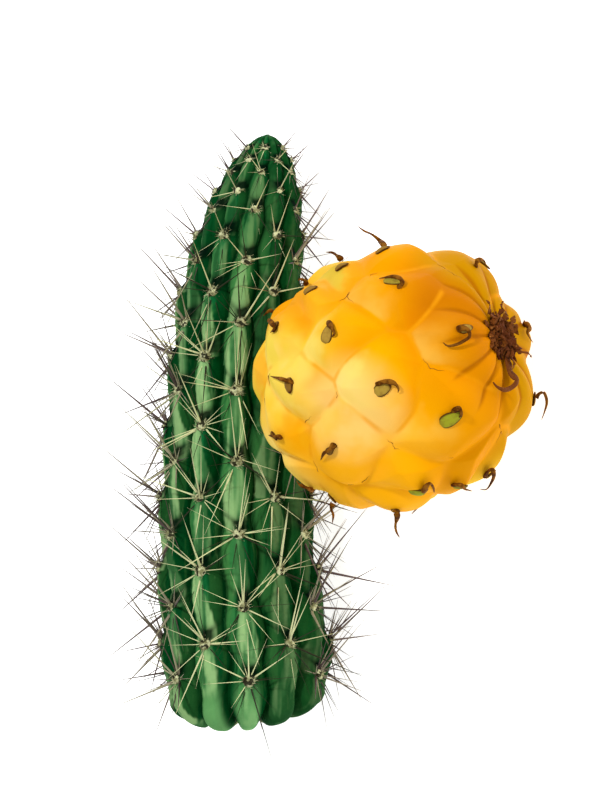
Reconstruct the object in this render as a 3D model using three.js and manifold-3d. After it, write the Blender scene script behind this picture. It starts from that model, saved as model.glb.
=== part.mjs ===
// A cut stem of Harrisia portoricensis with one ripe fruit still on it, lying on its side.
// Millimetres, +Z up, the surface it lies on at z = 0. The stem lies along Y, with its cut end
// towards -Y and its growing tip towards +Y. The fruit is on the +X side.
import * as THREE from 'three';
import { mergeVertices } from 'three/addons/utils/BufferGeometryUtils.js';
import Module from 'manifold-3d';

const wasm = await Module();
wasm.setup();

// Driving dimensions, in millimetres and degrees
const STEM_LENGTH = 126;
const STEM_OUTLINE = [
  // distance from the cut end, radius over the rib crests
  [0, 16.5], [8, 17.0], [18, 17.7], [30, 16.8], [49, 15.6], [70, 14.0], [91, 12.9],
  [102, 11.4], [112, 9.3], [118.5, 6.9], [122.7, 4.4], [125.2, 2.0], [STEM_LENGTH, 0],
];
const STEM_LEAN = [
  // distance from the cut end, how far the middle of the stem lies to the fruit's side
  [0, 1.4], [14, 1.3], [30, -0.2], [49, -1.1], [70, -1.3], [91, 0.0], [102, 1.4], [112, 3.2],
  [118.5, 4.3], [STEM_LENGTH, 5.6],
];
const RIB_COUNT = 12;
const FIRST_RIB_TURN = 1.6;
const GROOVE_DEPTH = 3.0;
const GROOVE_SHARE = 0.19;
const GROOVE_POWER = 2.6;
const GROOVE_SWAY = 0.04;
const BULGE = 0.5;

// The cut end: the slant and lean of the cut, how far the rounded rib ends stand out, and the dish
const CUT_FACE_RADIUS = 11;
const CUT_FACE_LOBES = 0.5;
const CUT_FACE_DISH = 0.8;
const CUT_DISH_RADIUS = 5;
const CUT_EDGE_ROUNDING = 5;
const CUT_SLANT = 3.2;
const CUT_LEAN = 1.2;
const CUT_LOBE = 2.6;
const CUT_BLEND = 20;

// Areoles, the woolly pads that bear the spines
const TOP_AREOLE = 3;
const AREOLE_SPACING = 15.5;
const AREOLE_SPACING_GROWTH = 17;
const PAD_HEIGHT = 0.7;

// Spines
const SPINES_PER_AREOLE = 4;
const SPINE_RADIUS = 0.36;
const SPINE_ROOT = 1.4;
const SPINE_LONGEST = 18;
const SPINE_SHORTEST = 10;
const SPINE_CLEARANCE = 1.2;
const SPINE_SPREAD = 1.0;
const LOWEST_AREOLE = 6;
const YOUNG_PLACE = 105;

// Where the stem lies: its middle line over the surface, and how far it is rolled on its long axis
const STEM_X = -22.8;
const STEM_CUT_Y = -61.2;
const STEM_HEIGHT = 22.5;
const ROLL = -35.6;

// The fruit, in the stem's own directions: to the side, along the stem, outwards
const FRUIT_MIDDLE = new THREE.Vector3(31.3, 74.8, 29.6);
const FRUIT_AXIS = new THREE.Vector3(0.82, 0.29, 0.49).normalize();
const FRUIT_HALF_LENGTH = 29.4;
const FRUIT_HALF_WIDTH = 26.6;
const FRUIT_MEAN_RADIUS = 29;
const FRUIT_BASE_FLATTENING = 2.4;
const FRUIT_SHOULDER = new THREE.Vector3(-0.55, 0.83, 0.1).normalize();
const SHOULDER_FLATTENING = 1.8;
const SHOULDER_WIDTH = 0.9;
const FRUIT_DETAIL = 11;
const TUBERCLE_HEIGHT = 2.6;
const TUBERCLE_SHOULDER = 0.55;
const CREASE_SOFTNESS = 0.06;
const CREASE_SWAY = 0.045;
const NAVEL_DEPTH = 2.6;
const NAVEL_WIDTH = 0.3;
const FOLD_COUNT = 13;
const FOLD_HEIGHT = 0.5;
const STALK_RADIUS = 2.8;
const STALK_FLARE = 5.5;
const STALK_LENGTH = 8;
const SEAT_GAP = 0.3;

// Seats of the fruit's scales on the side turned up: millimetres to the side and along the stem
// from the middle of the fruit. The rest follow a spiral.
const SCALE_SEATS = [
  [-1.6, 27.3], [-10.9, 24.6], [-17.9, 19.3], [0.7, 19.3], [18.6, 22.3], [-24.4, 10.3],
  [-13.3, 8.7], [14.8, 9.2], [-29.0, -1.3], [-21.1, -2.1], [-1.6, -2.8], [-28.6, -9.2],
  [-23.5, -12.3], [12.0, -8.6], [-12.4, -15.4], [31.0, -5.0], [20.8, -20.3], [14.8, -23.2],
  [6.0, -24.5], [1.3, -28.3], [-12.4, -26.4], [-17.7, -23.4], [28.6, 10.5],
];
const SPIRAL_SEATS = 46;
const SEAT_SPACING = 0.44;
const SCALE_LENGTH = 6;
const SCALE_RADIUS = 1.3;
const SCALE_STEPS = 5;

// The dried flower on the fruit's far end
const REMNANT_RADIUS = 5.4;
const REMNANT_HEIGHT = 2.6;
const REMNANT_PLUG_RADIUS = 2.6;
const REMNANT_PLUG_DEPTH = 2.6;
const STRIP_COUNT = 13;
const STRIP_LENGTH = 7.5;
const STRIP_THICKNESS = 0.7;

const DEGREE = Math.PI / 180;
const GOLDEN_TURN = Math.PI * (3 - Math.sqrt(5));

// The stem's own directions: side is towards the fruit, along is to the tip, face is up and outwards
const SIDE = new THREE.Vector3(Math.cos(ROLL * DEGREE), 0, Math.sin(ROLL * DEGREE));
const ALONG = new THREE.Vector3(0, 1, 0);
const FACE = new THREE.Vector3().crossVectors(SIDE, ALONG);

function placed(side, along, face) {
  return new THREE.Vector3(STEM_X, STEM_CUT_Y, STEM_HEIGHT)
    .addScaledVector(SIDE, side)
    .addScaledVector(ALONG, along)
    .addScaledVector(FACE, face);
}

function turned(direction) {
  return new THREE.Vector3()
    .addScaledVector(SIDE, direction.x)
    .addScaledVector(ALONG, direction.y)
    .addScaledVector(FACE, direction.z);
}

// A repeatable number from 0 to 1 for any three whole numbers
function draw(a, b, c) {
  const wave = Math.sin(a * 12.9898 + b * 78.233 + c * 37.719) * 43758.5453;
  return wave - Math.floor(wave);
}

function clamp01(value) {
  return Math.min(1, Math.max(0, value));
}

function smooth(value) {
  const t = clamp01(value);
  return t * t * (3 - 2 * t);
}

// A smooth line through [place, value] points that never swings past them
function through(points, place) {
  const last = points.length - 2;
  let i = 0;
  while (i < last && place > points[i + 1][0]) i += 1;
  const slope = (k) => (points[k + 1][1] - points[k][1]) / (points[k + 1][0] - points[k][0]);
  const tangent = (k) => {
    if (k === 0) return slope(0);
    if (k === points.length - 1) return slope(k - 1);
    const before = slope(k - 1);
    const after = slope(k);
    return before * after <= 0 ? 0 : (2 * before * after) / (before + after);
  };
  const width = points[i + 1][0] - points[i][0];
  const t = clamp01((place - points[i][0]) / width);
  const t2 = t * t;
  const t3 = t2 * t;
  return (2 * t3 - 3 * t2 + 1) * points[i][1] + (t3 - 2 * t2 + t) * width * tangent(i)
    + (3 * t2 - 2 * t3) * points[i + 1][1] + (t3 - t2) * width * tangent(i + 1);
}

// Solids are joined and cut as manifolds and handed back as geometries
function solid(geometry) {
  const bare = geometry.clone();
  bare.deleteAttribute('normal');
  bare.deleteAttribute('uv');
  const merged = mergeVertices(bare, 1e-4);
  return new wasm.Manifold(new wasm.Mesh({
    numProp: 3,
    vertProperties: new Float32Array(merged.attributes.position.array),
    triVerts: new Uint32Array(merged.index.array),
  }));
}

function geometryOf(made) {
  const mesh = made.simplify(0.05).getMesh();
  const geometry = new THREE.BufferGeometry();
  geometry.setAttribute('position', new THREE.BufferAttribute(mesh.vertProperties, 3));
  geometry.setIndex(new THREE.BufferAttribute(mesh.triVerts, 1));
  geometry.computeVertexNormals();
  return geometry;
}

function joined(solids) {
  return wasm.Manifold.union(solids);
}

// A geometry from rings of points, closed by a middle point at each end
function skin(rings, firstMiddle, lastMiddle) {
  const around = rings[0].length;
  const points = [firstMiddle, ...rings.flat(), lastMiddle];
  const faces = [];
  const at = (ring, k) => 1 + ring * around + (k % around);
  for (let k = 0; k < around; k += 1) {
    faces.push(0, at(0, k + 1), at(0, k));
    for (let ring = 0; ring + 1 < rings.length; ring += 1) {
      faces.push(at(ring, k), at(ring, k + 1), at(ring + 1, k + 1));
      faces.push(at(ring, k), at(ring + 1, k + 1), at(ring + 1, k));
    }
    faces.push(at(rings.length - 1, k), at(rings.length - 1, k + 1), points.length - 1);
  }
  const geometry = new THREE.BufferGeometry().setFromPoints(points);
  geometry.setIndex(faces);
  return geometry;
}

// Areoles: places along the stem, closer together towards the tip, in step on every second rib
function areolePlaces() {
  const places = [];
  for (let back = TOP_AREOLE; back < STEM_LENGTH - LOWEST_AREOLE;) {
    places.push(STEM_LENGTH - back);
    back += AREOLE_SPACING * (1 - Math.exp(-(back + 4) / AREOLE_SPACING_GROWTH));
  }
  return places.reverse();
}

const EVEN_PLACES = areolePlaces();
const ODD_PLACES = EVEN_PLACES.slice(1).map((place, k) => (place + EVEN_PLACES[k]) / 2);

function ribPlaces(rib) {
  return rib % 2 === 0 ? EVEN_PLACES : ODD_PLACES;
}

// How far the rib swells or dips between one areole and the next: a notch just over each areole
// and a chin under the next one
function bulge(rib, along) {
  const places = ribPlaces(rib);
  let k = 0;
  while (k < places.length && places[k] < along) k += 1;
  const below = k > 0 ? places[k - 1] : places[0] - AREOLE_SPACING;
  const above = k < places.length ? places[k] : STEM_LENGTH + TOP_AREOLE;
  const share = (along - below) / (above - below);
  const wrapped = (share + 0.8) % 1;
  return wrapped < 0.55 ? 2 * smooth(wrapped / 0.55) - 1 : 1 - 2 * smooth((wrapped - 0.55) / 0.45);
}

// Where the groove after a rib lies, as a share of the way to the next rib. It gives way to the rib
// that swells more.
function grooveAfter(rib, along) {
  return 0.5 + GROOVE_SWAY * (bulge(rib, along) - bulge(rib + 1, along));
}

// The rib that a turn round the stem is on, and how far it is from the crest (0) to the groove (1)
function ribAt(along, turn) {
  const ribTurn = ((turn - FIRST_RIB_TURN * DEGREE) * RIB_COUNT) / (2 * Math.PI) + RIB_COUNT;
  const left = Math.floor(ribTurn);
  const share = ribTurn - left;
  const groove = grooveAfter(left, along);
  if (share < groove) return { rib: left, off: share / groove };
  return { rib: left + 1, off: (1 - share) / (1 - groove) };
}

// Radius of the stem at a place along it and a turn round it, in radians from the face
function stemRadius(along, turn) {
  const { rib, off } = ribAt(along, turn);
  const crest = through(STEM_OUTLINE, along);
  const depth = Math.min(GROOVE_DEPTH, GROOVE_SHARE * crest);
  const swell = BULGE * bulge(rib, along) * Math.min(1, crest / 13) ** 2;
  const whole = crest + swell * (1 - off * off) - depth * off ** GROOVE_POWER;
  const face = CUT_FACE_RADIUS + CUT_FACE_LOBES * (whole - crest);
  const fromEdge = 1 - clamp01(along / CUT_EDGE_ROUNDING);
  return face + (whole - face) * Math.sqrt(1 - fromEdge * fromEdge);
}

// The slanting cut, at a share of the way from its middle to its edge
function cutPlane(share, turn) {
  return CUT_SLANT * (1 - share * Math.cos(turn)) + CUT_LEAN * share * Math.sin(turn);
}

// How far the slanting cut and the rounded ends of the ribs lift a place near the cut
function cutRise(along, turn) {
  const rise = cutPlane(1, turn) + CUT_LOBE * ribAt(along, turn).off ** 3;
  return rise * (1 - clamp01(along / CUT_BLEND));
}

function stemPoint(along, turn, lift = 0) {
  const radius = stemRadius(along, turn) + lift;
  const side = radius * Math.sin(turn) + through(STEM_LEAN, along);
  return placed(side, along + cutRise(along, turn), radius * Math.cos(turn));
}

// The stem's body: four points round each rib, and rows where its areoles, notches and chins lie.
// The first of the four is in the groove, which sways.
function stemBody() {
  const ribShares = [-0.5, -0.26, 0, 0.26];
  const turnOf = (k, along) => {
    const rib = Math.floor(k / ribShares.length);
    const inGroove = k % ribShares.length === 0;
    const share = inGroove ? grooveAfter(rib + RIB_COUNT - 1, along) - 1 : ribShares[k % ribShares.length];
    return (((rib + share) * 360) / RIB_COUNT + FIRST_RIB_TURN) * DEGREE;
  };
  const columns = Array.from({ length: RIB_COUNT * ribShares.length }, (_, k) => k);
  const both = [...EVEN_PLACES, ...ODD_PLACES].sort((a, b) => a - b);
  const rows = [0, 0.6, 2.6, 6];
  both.forEach((place, k) => {
    const next = k + 1 < both.length ? both[k + 1] : STEM_LENGTH;
    rows.push(place);
    rows.push(place + (next - place) * 0.45);
  });
  rows.push(125.2);
  const isPad = (rib, along) => ribPlaces(rib).some((place) => Math.abs(place - along) < 0.01);
  const rings = rows.map((along) => columns.map((k) => {
    const rib = Math.floor(k / ribShares.length);
    const onCrest = k % ribShares.length === 2;
    const lift = onCrest && isPad(rib, along) ? PAD_HEIGHT * Math.min(1, (STEM_LENGTH - along) / 20) : 0;
    return stemPoint(along, turnOf(k, along), lift);
  }));
  const dish = columns.map((k) => {
    const turn = turnOf(k, 0);
    return placed(
      CUT_DISH_RADIUS * Math.sin(turn) + STEM_LEAN[0][1],
      cutPlane(CUT_DISH_RADIUS / CUT_FACE_RADIUS, turn) + CUT_FACE_DISH,
      CUT_DISH_RADIUS * Math.cos(turn),
    );
  });
  const cutMiddle = placed(STEM_LEAN[0][1], cutPlane(0, 0) + CUT_FACE_DISH, 0);
  const tip = placed(STEM_LEAN[STEM_LEAN.length - 1][1], STEM_LENGTH, 0);
  return solid(skin([dish, ...rings], cutMiddle, tip));
}

// Fruit surface: an ellipsoid with a swelling round each scale, creases between the swellings,
// and folds that run into a navel at its far end
const FRUIT_EAST = new THREE.Vector3(0, 1, 0).cross(FRUIT_AXIS).normalize();
const FRUIT_NORTH = FRUIT_AXIS.clone().cross(FRUIT_EAST);

function scaleSeats() {
  const seats = SCALE_SEATS.map(([side, along]) => {
    const out = FRUIT_MEAN_RADIUS ** 2 - side * side - along * along;
    return new THREE.Vector3(side, along, Math.sqrt(Math.max(0, out))).normalize();
  });
  for (let k = 0; k < SPIRAL_SEATS; k += 1) {
    const down = 1 - (2 * (k + 0.5)) / SPIRAL_SEATS;
    const ring = Math.sqrt(1 - down * down);
    const seat = new THREE.Vector3()
      .addScaledVector(FRUIT_EAST, ring * Math.cos(k * GOLDEN_TURN))
      .addScaledVector(FRUIT_NORTH, ring * Math.sin(k * GOLDEN_TURN))
      .addScaledVector(FRUIT_AXIS, down);
    const room = Math.min(...seats.map((other) => other.angleTo(seat)));
    const nearEnds = Math.min(seat.angleTo(FRUIT_AXIS), Math.PI - seat.angleTo(FRUIT_AXIS));
    if (seat.z < 0.15 && room > SEAT_SPACING && nearEnds > SEAT_SPACING) seats.push(seat);
  }
  return seats;
}

const SEATS = scaleSeats();

// How much farther the second nearest scale is than the nearest: 0 in a crease. The direction is
// bent a little first, so that the creases sway.
function nearestGap({ x, y, z }) {
  const bent = new THREE.Vector3(
    x + CREASE_SWAY * Math.sin(9 * y + 1),
    y + CREASE_SWAY * Math.sin(9 * z + 2),
    z + CREASE_SWAY * Math.sin(9 * x + 4),
  ).normalize();
  let nearest = Math.PI;
  let second = Math.PI;
  for (const seat of SEATS) {
    const distance = seat.angleTo(bent);
    if (distance < nearest) {
      second = nearest;
      nearest = distance;
    } else if (distance < second) {
      second = distance;
    }
  }
  return second - nearest;
}

function fruitRadius(direction) {
  const fromTip = direction.angleTo(FRUIT_AXIS);
  const fromBase = Math.PI - fromTip;
  const cosine = Math.cos(fromTip);
  let radius = FRUIT_HALF_WIDTH + (FRUIT_HALF_LENGTH - FRUIT_HALF_WIDTH) * cosine * cosine;
  radius -= FRUIT_BASE_FLATTENING * Math.exp(-((fromBase / 0.5) ** 2));
  radius -= SHOULDER_FLATTENING * Math.exp(-((direction.angleTo(FRUIT_SHOULDER) / SHOULDER_WIDTH) ** 2));
  radius -= NAVEL_DEPTH * Math.exp(-((fromTip / NAVEL_WIDTH) ** 2));
  const softened = Math.hypot(nearestGap(direction), CREASE_SOFTNESS) - CREASE_SOFTNESS;
  const shoulder = clamp01(softened / TUBERCLE_SHOULDER);
  const fullness = (0.5 + 0.5 * smooth(fromBase / 1.2)) * (0.45 + 0.55 * smooth(fromTip / 0.9));
  radius += TUBERCLE_HEIGHT * fullness * (1 - (1 - shoulder) ** 2.3);
  const round = Math.atan2(direction.dot(FRUIT_NORTH), direction.dot(FRUIT_EAST));
  const folded = smooth((0.9 - fromTip) / 0.5) * smooth(fromTip / 0.2);
  return radius + FOLD_HEIGHT * folded * (Math.abs(Math.cos((FOLD_COUNT * round) / 2)) - 0.5);
}

function fruitPoint(direction, lift = 0) {
  const reach = direction.clone().multiplyScalar(fruitRadius(direction) + lift);
  return placed(FRUIT_MIDDLE.x + reach.x, FRUIT_MIDDLE.y + reach.y, FRUIT_MIDDLE.z + reach.z);
}

function fruitBody() {
  const geometry = new THREE.IcosahedronGeometry(1, FRUIT_DETAIL);
  geometry.deleteAttribute('normal');
  geometry.deleteAttribute('uv');
  const merged = mergeVertices(geometry, 1e-4);
  const position = merged.attributes.position;
  const direction = new THREE.Vector3();
  for (let k = 0; k < position.count; k += 1) {
    const point = fruitPoint(direction.fromBufferAttribute(position, k).normalize());
    position.setXYZ(k, point.x, point.y, point.z);
  }
  return solid(merged);
}

// A round bar from one point to another, with a radius at each end
function bar(from, to, fromRadius, toRadius, sides) {
  const along = new THREE.Vector3().subVectors(to, from);
  const geometry = new THREE.CylinderGeometry(toRadius, fromRadius, along.length(), sides);
  geometry.applyQuaternion(new THREE.Quaternion().setFromUnitVectors(ALONG, along.clone().normalize()));
  geometry.translate(...from.clone().add(to).multiplyScalar(0.5));
  return solid(geometry);
}

// The stalk leaves an areole of the rib beside the face and widens into the fruit
const STALK_RIB = 1;
const STALK_PLACE = ODD_PLACES.find((place) => place > 60);
const STALK_TURN = (FIRST_RIB_TURN + (STALK_RIB * 360) / RIB_COUNT) * DEGREE;
const STALK_SEAT = stemPoint(STALK_PLACE, STALK_TURN, -1.2);
const FRUIT_CENTRE = placed(FRUIT_MIDDLE.x, FRUIT_MIDDLE.y, FRUIT_MIDDLE.z);

function stalk(gap) {
  const way = new THREE.Vector3().subVectors(FRUIT_CENTRE, STALK_SEAT).normalize();
  const from = STALK_SEAT.clone().addScaledVector(way, -gap);
  const to = STALK_SEAT.clone().addScaledVector(way, STALK_LENGTH);
  return bar(from, to, STALK_RADIUS + gap, STALK_FLARE + gap, 10);
}

// A horn that tapers along a curve, closed at its root and at its tip
function horn(points, radii, sides) {
  const rings = [];
  let across = new THREE.Vector3(0.3, 0.5, 0.8);
  points.slice(0, -1).forEach((point, k) => {
    const way = new THREE.Vector3().subVectors(points[k + 1], points[Math.max(0, k - 1)]).normalize();
    across = across.clone().addScaledVector(way, -across.dot(way)).normalize();
    const other = new THREE.Vector3().crossVectors(way, across);
    rings.push(Array.from({ length: sides }, (_, side) => {
      const angle = (side * 2 * Math.PI) / sides;
      return point.clone()
        .addScaledVector(across, radii[k] * Math.cos(angle))
        .addScaledVector(other, radii[k] * Math.sin(angle));
    }));
  });
  return solid(skin(rings, points[0], points[points.length - 1]));
}

// A scale: a small horn that leans to the fruit's far end, then curls over. Under the fruit it
// is pressed out sideways so that it stays over the surface.
function scale(seat, k) {
  const toTip = FRUIT_AXIS.clone().addScaledVector(seat, -FRUIT_AXIS.dot(seat)).normalize();
  const twist = (draw(k, 1, 0) - 0.5) * 2.4;
  const lean = toTip.applyAxisAngle(seat, twist);
  const length = SCALE_LENGTH * (0.75 + 0.5 * draw(k, 2, 0));
  const curl = (110 + 60 * draw(k, 3, 0)) * DEGREE;
  const step = length / SCALE_STEPS;
  const start = seat.clone().multiplyScalar(fruitRadius(seat) - 1.2);
  const points = [start];
  for (let n = 0; n < SCALE_STEPS; n += 1) {
    const bend = 0.35 + curl * (n / SCALE_STEPS) ** 1.3;
    const way = seat.clone().multiplyScalar(Math.cos(bend)).addScaledVector(lean, Math.sin(bend));
    points.push(points[n].clone().addScaledVector(way, step));
  }
  const placedPoints = points.map((point) => {
    const reach = point.clone().add(FRUIT_MIDDLE);
    const world = placed(reach.x, reach.y, reach.z);
    world.z = Math.max(world.z, SCALE_RADIUS);
    return world;
  });
  const radii = placedPoints.map((_, n) => SCALE_RADIUS * (1 - 0.85 * Math.sqrt(n / SCALE_STEPS)));
  return horn(placedPoints, radii, 4);
}

// A scale has room where it meets neither the surface underneath nor the stem
function scaleHasRoom(seat) {
  const low = fruitPoint(seat).z < 2.5;
  const nearStem = seat.angleTo(FRUIT_AXIS) > 2.55;
  return !low && !nearStem;
}

// Spines: each areole has a few, spread by equal turns about its middle, and one long one that
// leans towards the stem's tip
const FRUIT_REACH = FRUIT_HALF_LENGTH + TUBERCLE_HEIGHT + SPINE_CLEARANCE;

function clearOfFruit(root, way, length) {
  const bent = way.clone();
  for (let tries = 0; tries < 40; tries += 1) {
    const nearest = Math.min(length, Math.max(0, FRUIT_CENTRE.clone().sub(root).dot(bent)));
    const closest = root.clone().addScaledVector(bent, nearest).sub(FRUIT_CENTRE);
    if (closest.length() >= FRUIT_REACH) return bent;
    bent.addScaledVector(closest.normalize(), 0.08).normalize();
  }
  return null;
}

function overTheSurface(root, way, length) {
  const tip = root.z + way.z * length;
  if (tip >= 0) return way;
  const flat = new THREE.Vector3(way.x, way.y, 0).normalize();
  const down = -root.z / length;
  return flat.multiplyScalar(Math.sqrt(1 - down * down)).setZ(down);
}

function spineAt(rib, k, n) {
  const along = ribPlaces(rib)[k];
  const turn = (FIRST_RIB_TURN + (rib * 360) / RIB_COUNT) * DEGREE;
  const root = stemPoint(along, turn);
  const out = turned(new THREE.Vector3(Math.sin(turn), 0, Math.cos(turn)));
  const across = new THREE.Vector3().crossVectors(ALONG, out);
  const seed = rib * 40 + k;
  const young = smooth((STEM_LENGTH - along) / 45);
  const longest = SPINE_LONGEST * (0.42 + 0.58 * young);
  const share = n === 0 ? 0.75 + 0.25 * draw(seed, n, 1) : draw(seed, n, 1);
  const length = SPINE_SHORTEST * (longest / SPINE_LONGEST)
    + (longest - SPINE_SHORTEST * (longest / SPINE_LONGEST)) * share;
  const tilt = (n === 0 ? 38 + 22 * draw(seed, n, 2) : 43 + 25 * draw(seed, n, 2)) * DEGREE;
  const equal = 360 * (n + draw(seed, 0, 3)) / (SPINES_PER_AREOLE - 1) + 30 * draw(seed, n, 4);
  const spin = (n === 0 ? 50 * (draw(seed, n, 4) - 0.5) : equal) * DEGREE;
  const aside = ALONG.clone().multiplyScalar(Math.cos(spin)).addScaledVector(across, Math.sin(spin));
  const way = out.clone().multiplyScalar(Math.cos(tilt)).addScaledVector(aside, Math.sin(tilt));
  if (n > 0) root.addScaledVector(aside, SPINE_SPREAD * young);
  const clear = clearOfFruit(root, overTheSurface(root, way, length), length);
  if (!clear) return null;
  return { root, way: overTheSurface(root, clear, length), length };
}

function spine({ root, way, length }) {
  const geometry = new THREE.ConeGeometry(SPINE_RADIUS, length + SPINE_ROOT, 3);
  geometry.translate(0, (length - SPINE_ROOT) / 2, 0);
  geometry.applyQuaternion(new THREE.Quaternion().setFromUnitVectors(ALONG, way));
  geometry.translate(root.x, root.y, root.z);
  return solid(geometry);
}

function stemSolid() {
  const parts = [stemBody()];
  for (let rib = 0; rib < RIB_COUNT; rib += 1) {
    ribPlaces(rib).forEach((place, k) => {
      if (rib === STALK_RIB && place === STALK_PLACE) return;
      const count = place > YOUNG_PLACE ? SPINES_PER_AREOLE - 1 : SPINES_PER_AREOLE;
      for (let n = 0; n < count; n += 1) {
        const made = spineAt(rib, k, n);
        if (made) parts.push(spine(made));
      }
    });
  }
  return joined(parts).subtract(stalk(SEAT_GAP));
}

// Everything of the fruit and the dried flower is placed along the fruit's axis
const REMNANT_SEAT = fruitPoint(FRUIT_AXIS, 0.4);
const REMNANT_WAY = turned(FRUIT_AXIS);

function remnantPlug(radius, depth) {
  const inner = REMNANT_SEAT.clone().addScaledVector(REMNANT_WAY, -depth);
  const outer = REMNANT_SEAT.clone().addScaledVector(REMNANT_WAY, REMNANT_HEIGHT / 2);
  return bar(inner, outer, radius, radius, 10);
}

function fruitSolid() {
  const parts = [fruitBody(), stalk(0)];
  SEATS.forEach((seat, k) => {
    if (scaleHasRoom(seat)) parts.push(scale(seat, k));
  });
  const under = new THREE.BoxGeometry(200, 200, 20).translate(0, 0, -10);
  return joined(parts)
    .subtract(solid(under))
    .subtract(remnantPlug(REMNANT_PLUG_RADIUS + SEAT_GAP, REMNANT_PLUG_DEPTH + SEAT_GAP));
}

// Dried flower: a low crumpled cushion with thin strips that curl out of it
function remnantCushion() {
  const sides = 12;
  const rings = [0, 0.35, 0.75, 1].map((share, row) => Array.from({ length: sides }, (_, k) => {
    const angle = (k * 2 * Math.PI) / sides;
    const wide = REMNANT_RADIUS * Math.sqrt(1 - (share * 0.8) ** 2) * (0.82 + 0.3 * draw(k, row, 5));
    return new THREE.Vector3(wide * Math.cos(angle), wide * Math.sin(angle), -1.8 + share * (REMNANT_HEIGHT + 1.8));
  }));
  const low = new THREE.Vector3(0, 0, -1.8);
  const high = new THREE.Vector3(0, 0, REMNANT_HEIGHT + 0.4);
  const geometry = skin(rings, low, high);
  geometry.applyQuaternion(new THREE.Quaternion().setFromUnitVectors(new THREE.Vector3(0, 0, 1), REMNANT_WAY));
  geometry.translate(REMNANT_SEAT.x, REMNANT_SEAT.y, REMNANT_SEAT.z);
  return solid(geometry);
}

function remnantStrip(k) {
  const east = turned(FRUIT_EAST);
  const north = turned(FRUIT_NORTH);
  const angle = (k * 2 * Math.PI) / STRIP_COUNT + 0.5 * draw(k, 1, 6);
  const outward = east.multiplyScalar(Math.cos(angle)).addScaledVector(north, Math.sin(angle));
  const length = STRIP_LENGTH * (0.7 + 0.6 * draw(k, 2, 6));
  const curl = (60 + 120 * draw(k, 3, 6)) * DEGREE;
  const steps = 5;
  const points = [REMNANT_SEAT.clone().addScaledVector(outward, 1.5).addScaledVector(REMNANT_WAY, 1)];
  for (let n = 0; n < steps; n += 1) {
    const bend = 0.5 + curl * (n / steps);
    const way = REMNANT_WAY.clone().multiplyScalar(Math.cos(bend)).addScaledVector(outward, Math.sin(bend));
    points.push(points[n].clone().addScaledVector(way, length / steps));
  }
  const radii = points.map((_, n) => STRIP_THICKNESS * (1.25 - 0.7 * (n / steps)));
  return horn(points, radii, 4);
}

function remnantSolid() {
  const parts = [remnantCushion()];
  for (let k = 0; k < STRIP_COUNT; k += 1) parts.push(remnantStrip(k));
  const grow = 1 + 0.35 / FRUIT_HALF_WIDTH;
  const wider = fruitBody()
    .translate([-FRUIT_CENTRE.x, -FRUIT_CENTRE.y, -FRUIT_CENTRE.z])
    .scale([grow, grow, grow])
    .translate([FRUIT_CENTRE.x, FRUIT_CENTRE.y, FRUIT_CENTRE.z]);
  const whole = joined(parts).subtract(wider).add(remnantPlug(REMNANT_PLUG_RADIUS, REMNANT_PLUG_DEPTH));
  return whole.decompose().reduce((most, body) => (body.volume() > most.volume() ? body : most));
}

function mesh(name, made, colour, roughness) {
  const material = new THREE.MeshStandardMaterial({ color: colour, roughness, metalness: 0, flatShading: true });
  const node = new THREE.Mesh(geometryOf(made), material);
  node.name = name;
  return node;
}

const part = new THREE.Group();
part.add(mesh('stem', stemSolid(), 0x14663c, 0.5));
part.add(mesh('fruit', fruitSolid(), 0xf5b21a, 0.35));
part.add(mesh('flower_remnant', remnantSolid(), 0x3f1d08, 0.85));

export default part;
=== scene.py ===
# %% [markdown]
# # A cut cactus stem with its fruit
# The part is a stem of Harrisia portoricensis, cut off and laid on its side, with one ripe yellow
# fruit still growing on it. A plain model of it is already packed: it gives the places and sizes of
# three nodes, the stem, the fruit and the dried flower. This lesson dresses those nodes: it grows a
# fine skin for each one from the same rules, then adds what is too small for the plain model.

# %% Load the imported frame
import bpy
import math
import numpy as np
from mathutils import Matrix, Vector


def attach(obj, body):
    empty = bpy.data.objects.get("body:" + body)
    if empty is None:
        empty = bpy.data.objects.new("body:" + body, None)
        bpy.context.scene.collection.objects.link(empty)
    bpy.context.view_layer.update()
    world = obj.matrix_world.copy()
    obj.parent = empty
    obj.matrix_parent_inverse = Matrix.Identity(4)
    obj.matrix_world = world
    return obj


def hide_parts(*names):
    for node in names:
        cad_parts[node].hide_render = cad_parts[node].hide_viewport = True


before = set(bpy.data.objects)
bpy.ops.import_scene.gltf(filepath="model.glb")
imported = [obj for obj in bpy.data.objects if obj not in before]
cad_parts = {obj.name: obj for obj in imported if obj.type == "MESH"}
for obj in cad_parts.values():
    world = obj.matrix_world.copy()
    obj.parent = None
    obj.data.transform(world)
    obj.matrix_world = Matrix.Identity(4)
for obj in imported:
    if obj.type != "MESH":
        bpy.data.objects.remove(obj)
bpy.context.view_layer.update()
MM = 0.001

# %% [markdown]
# ## Driving dimensions
# A plant grows by a few rules, so a few numbers hold all of it: the outline of the stem, the number of
# ribs, how the areoles (the woolly pads that bear spines) draw closer to the tip, the fruit's middle,
# axis and half sizes. They are the same values, in millimetres and degrees, that the plain model has,
# so that every fine piece lies where the node that it stands for lies.

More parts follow.
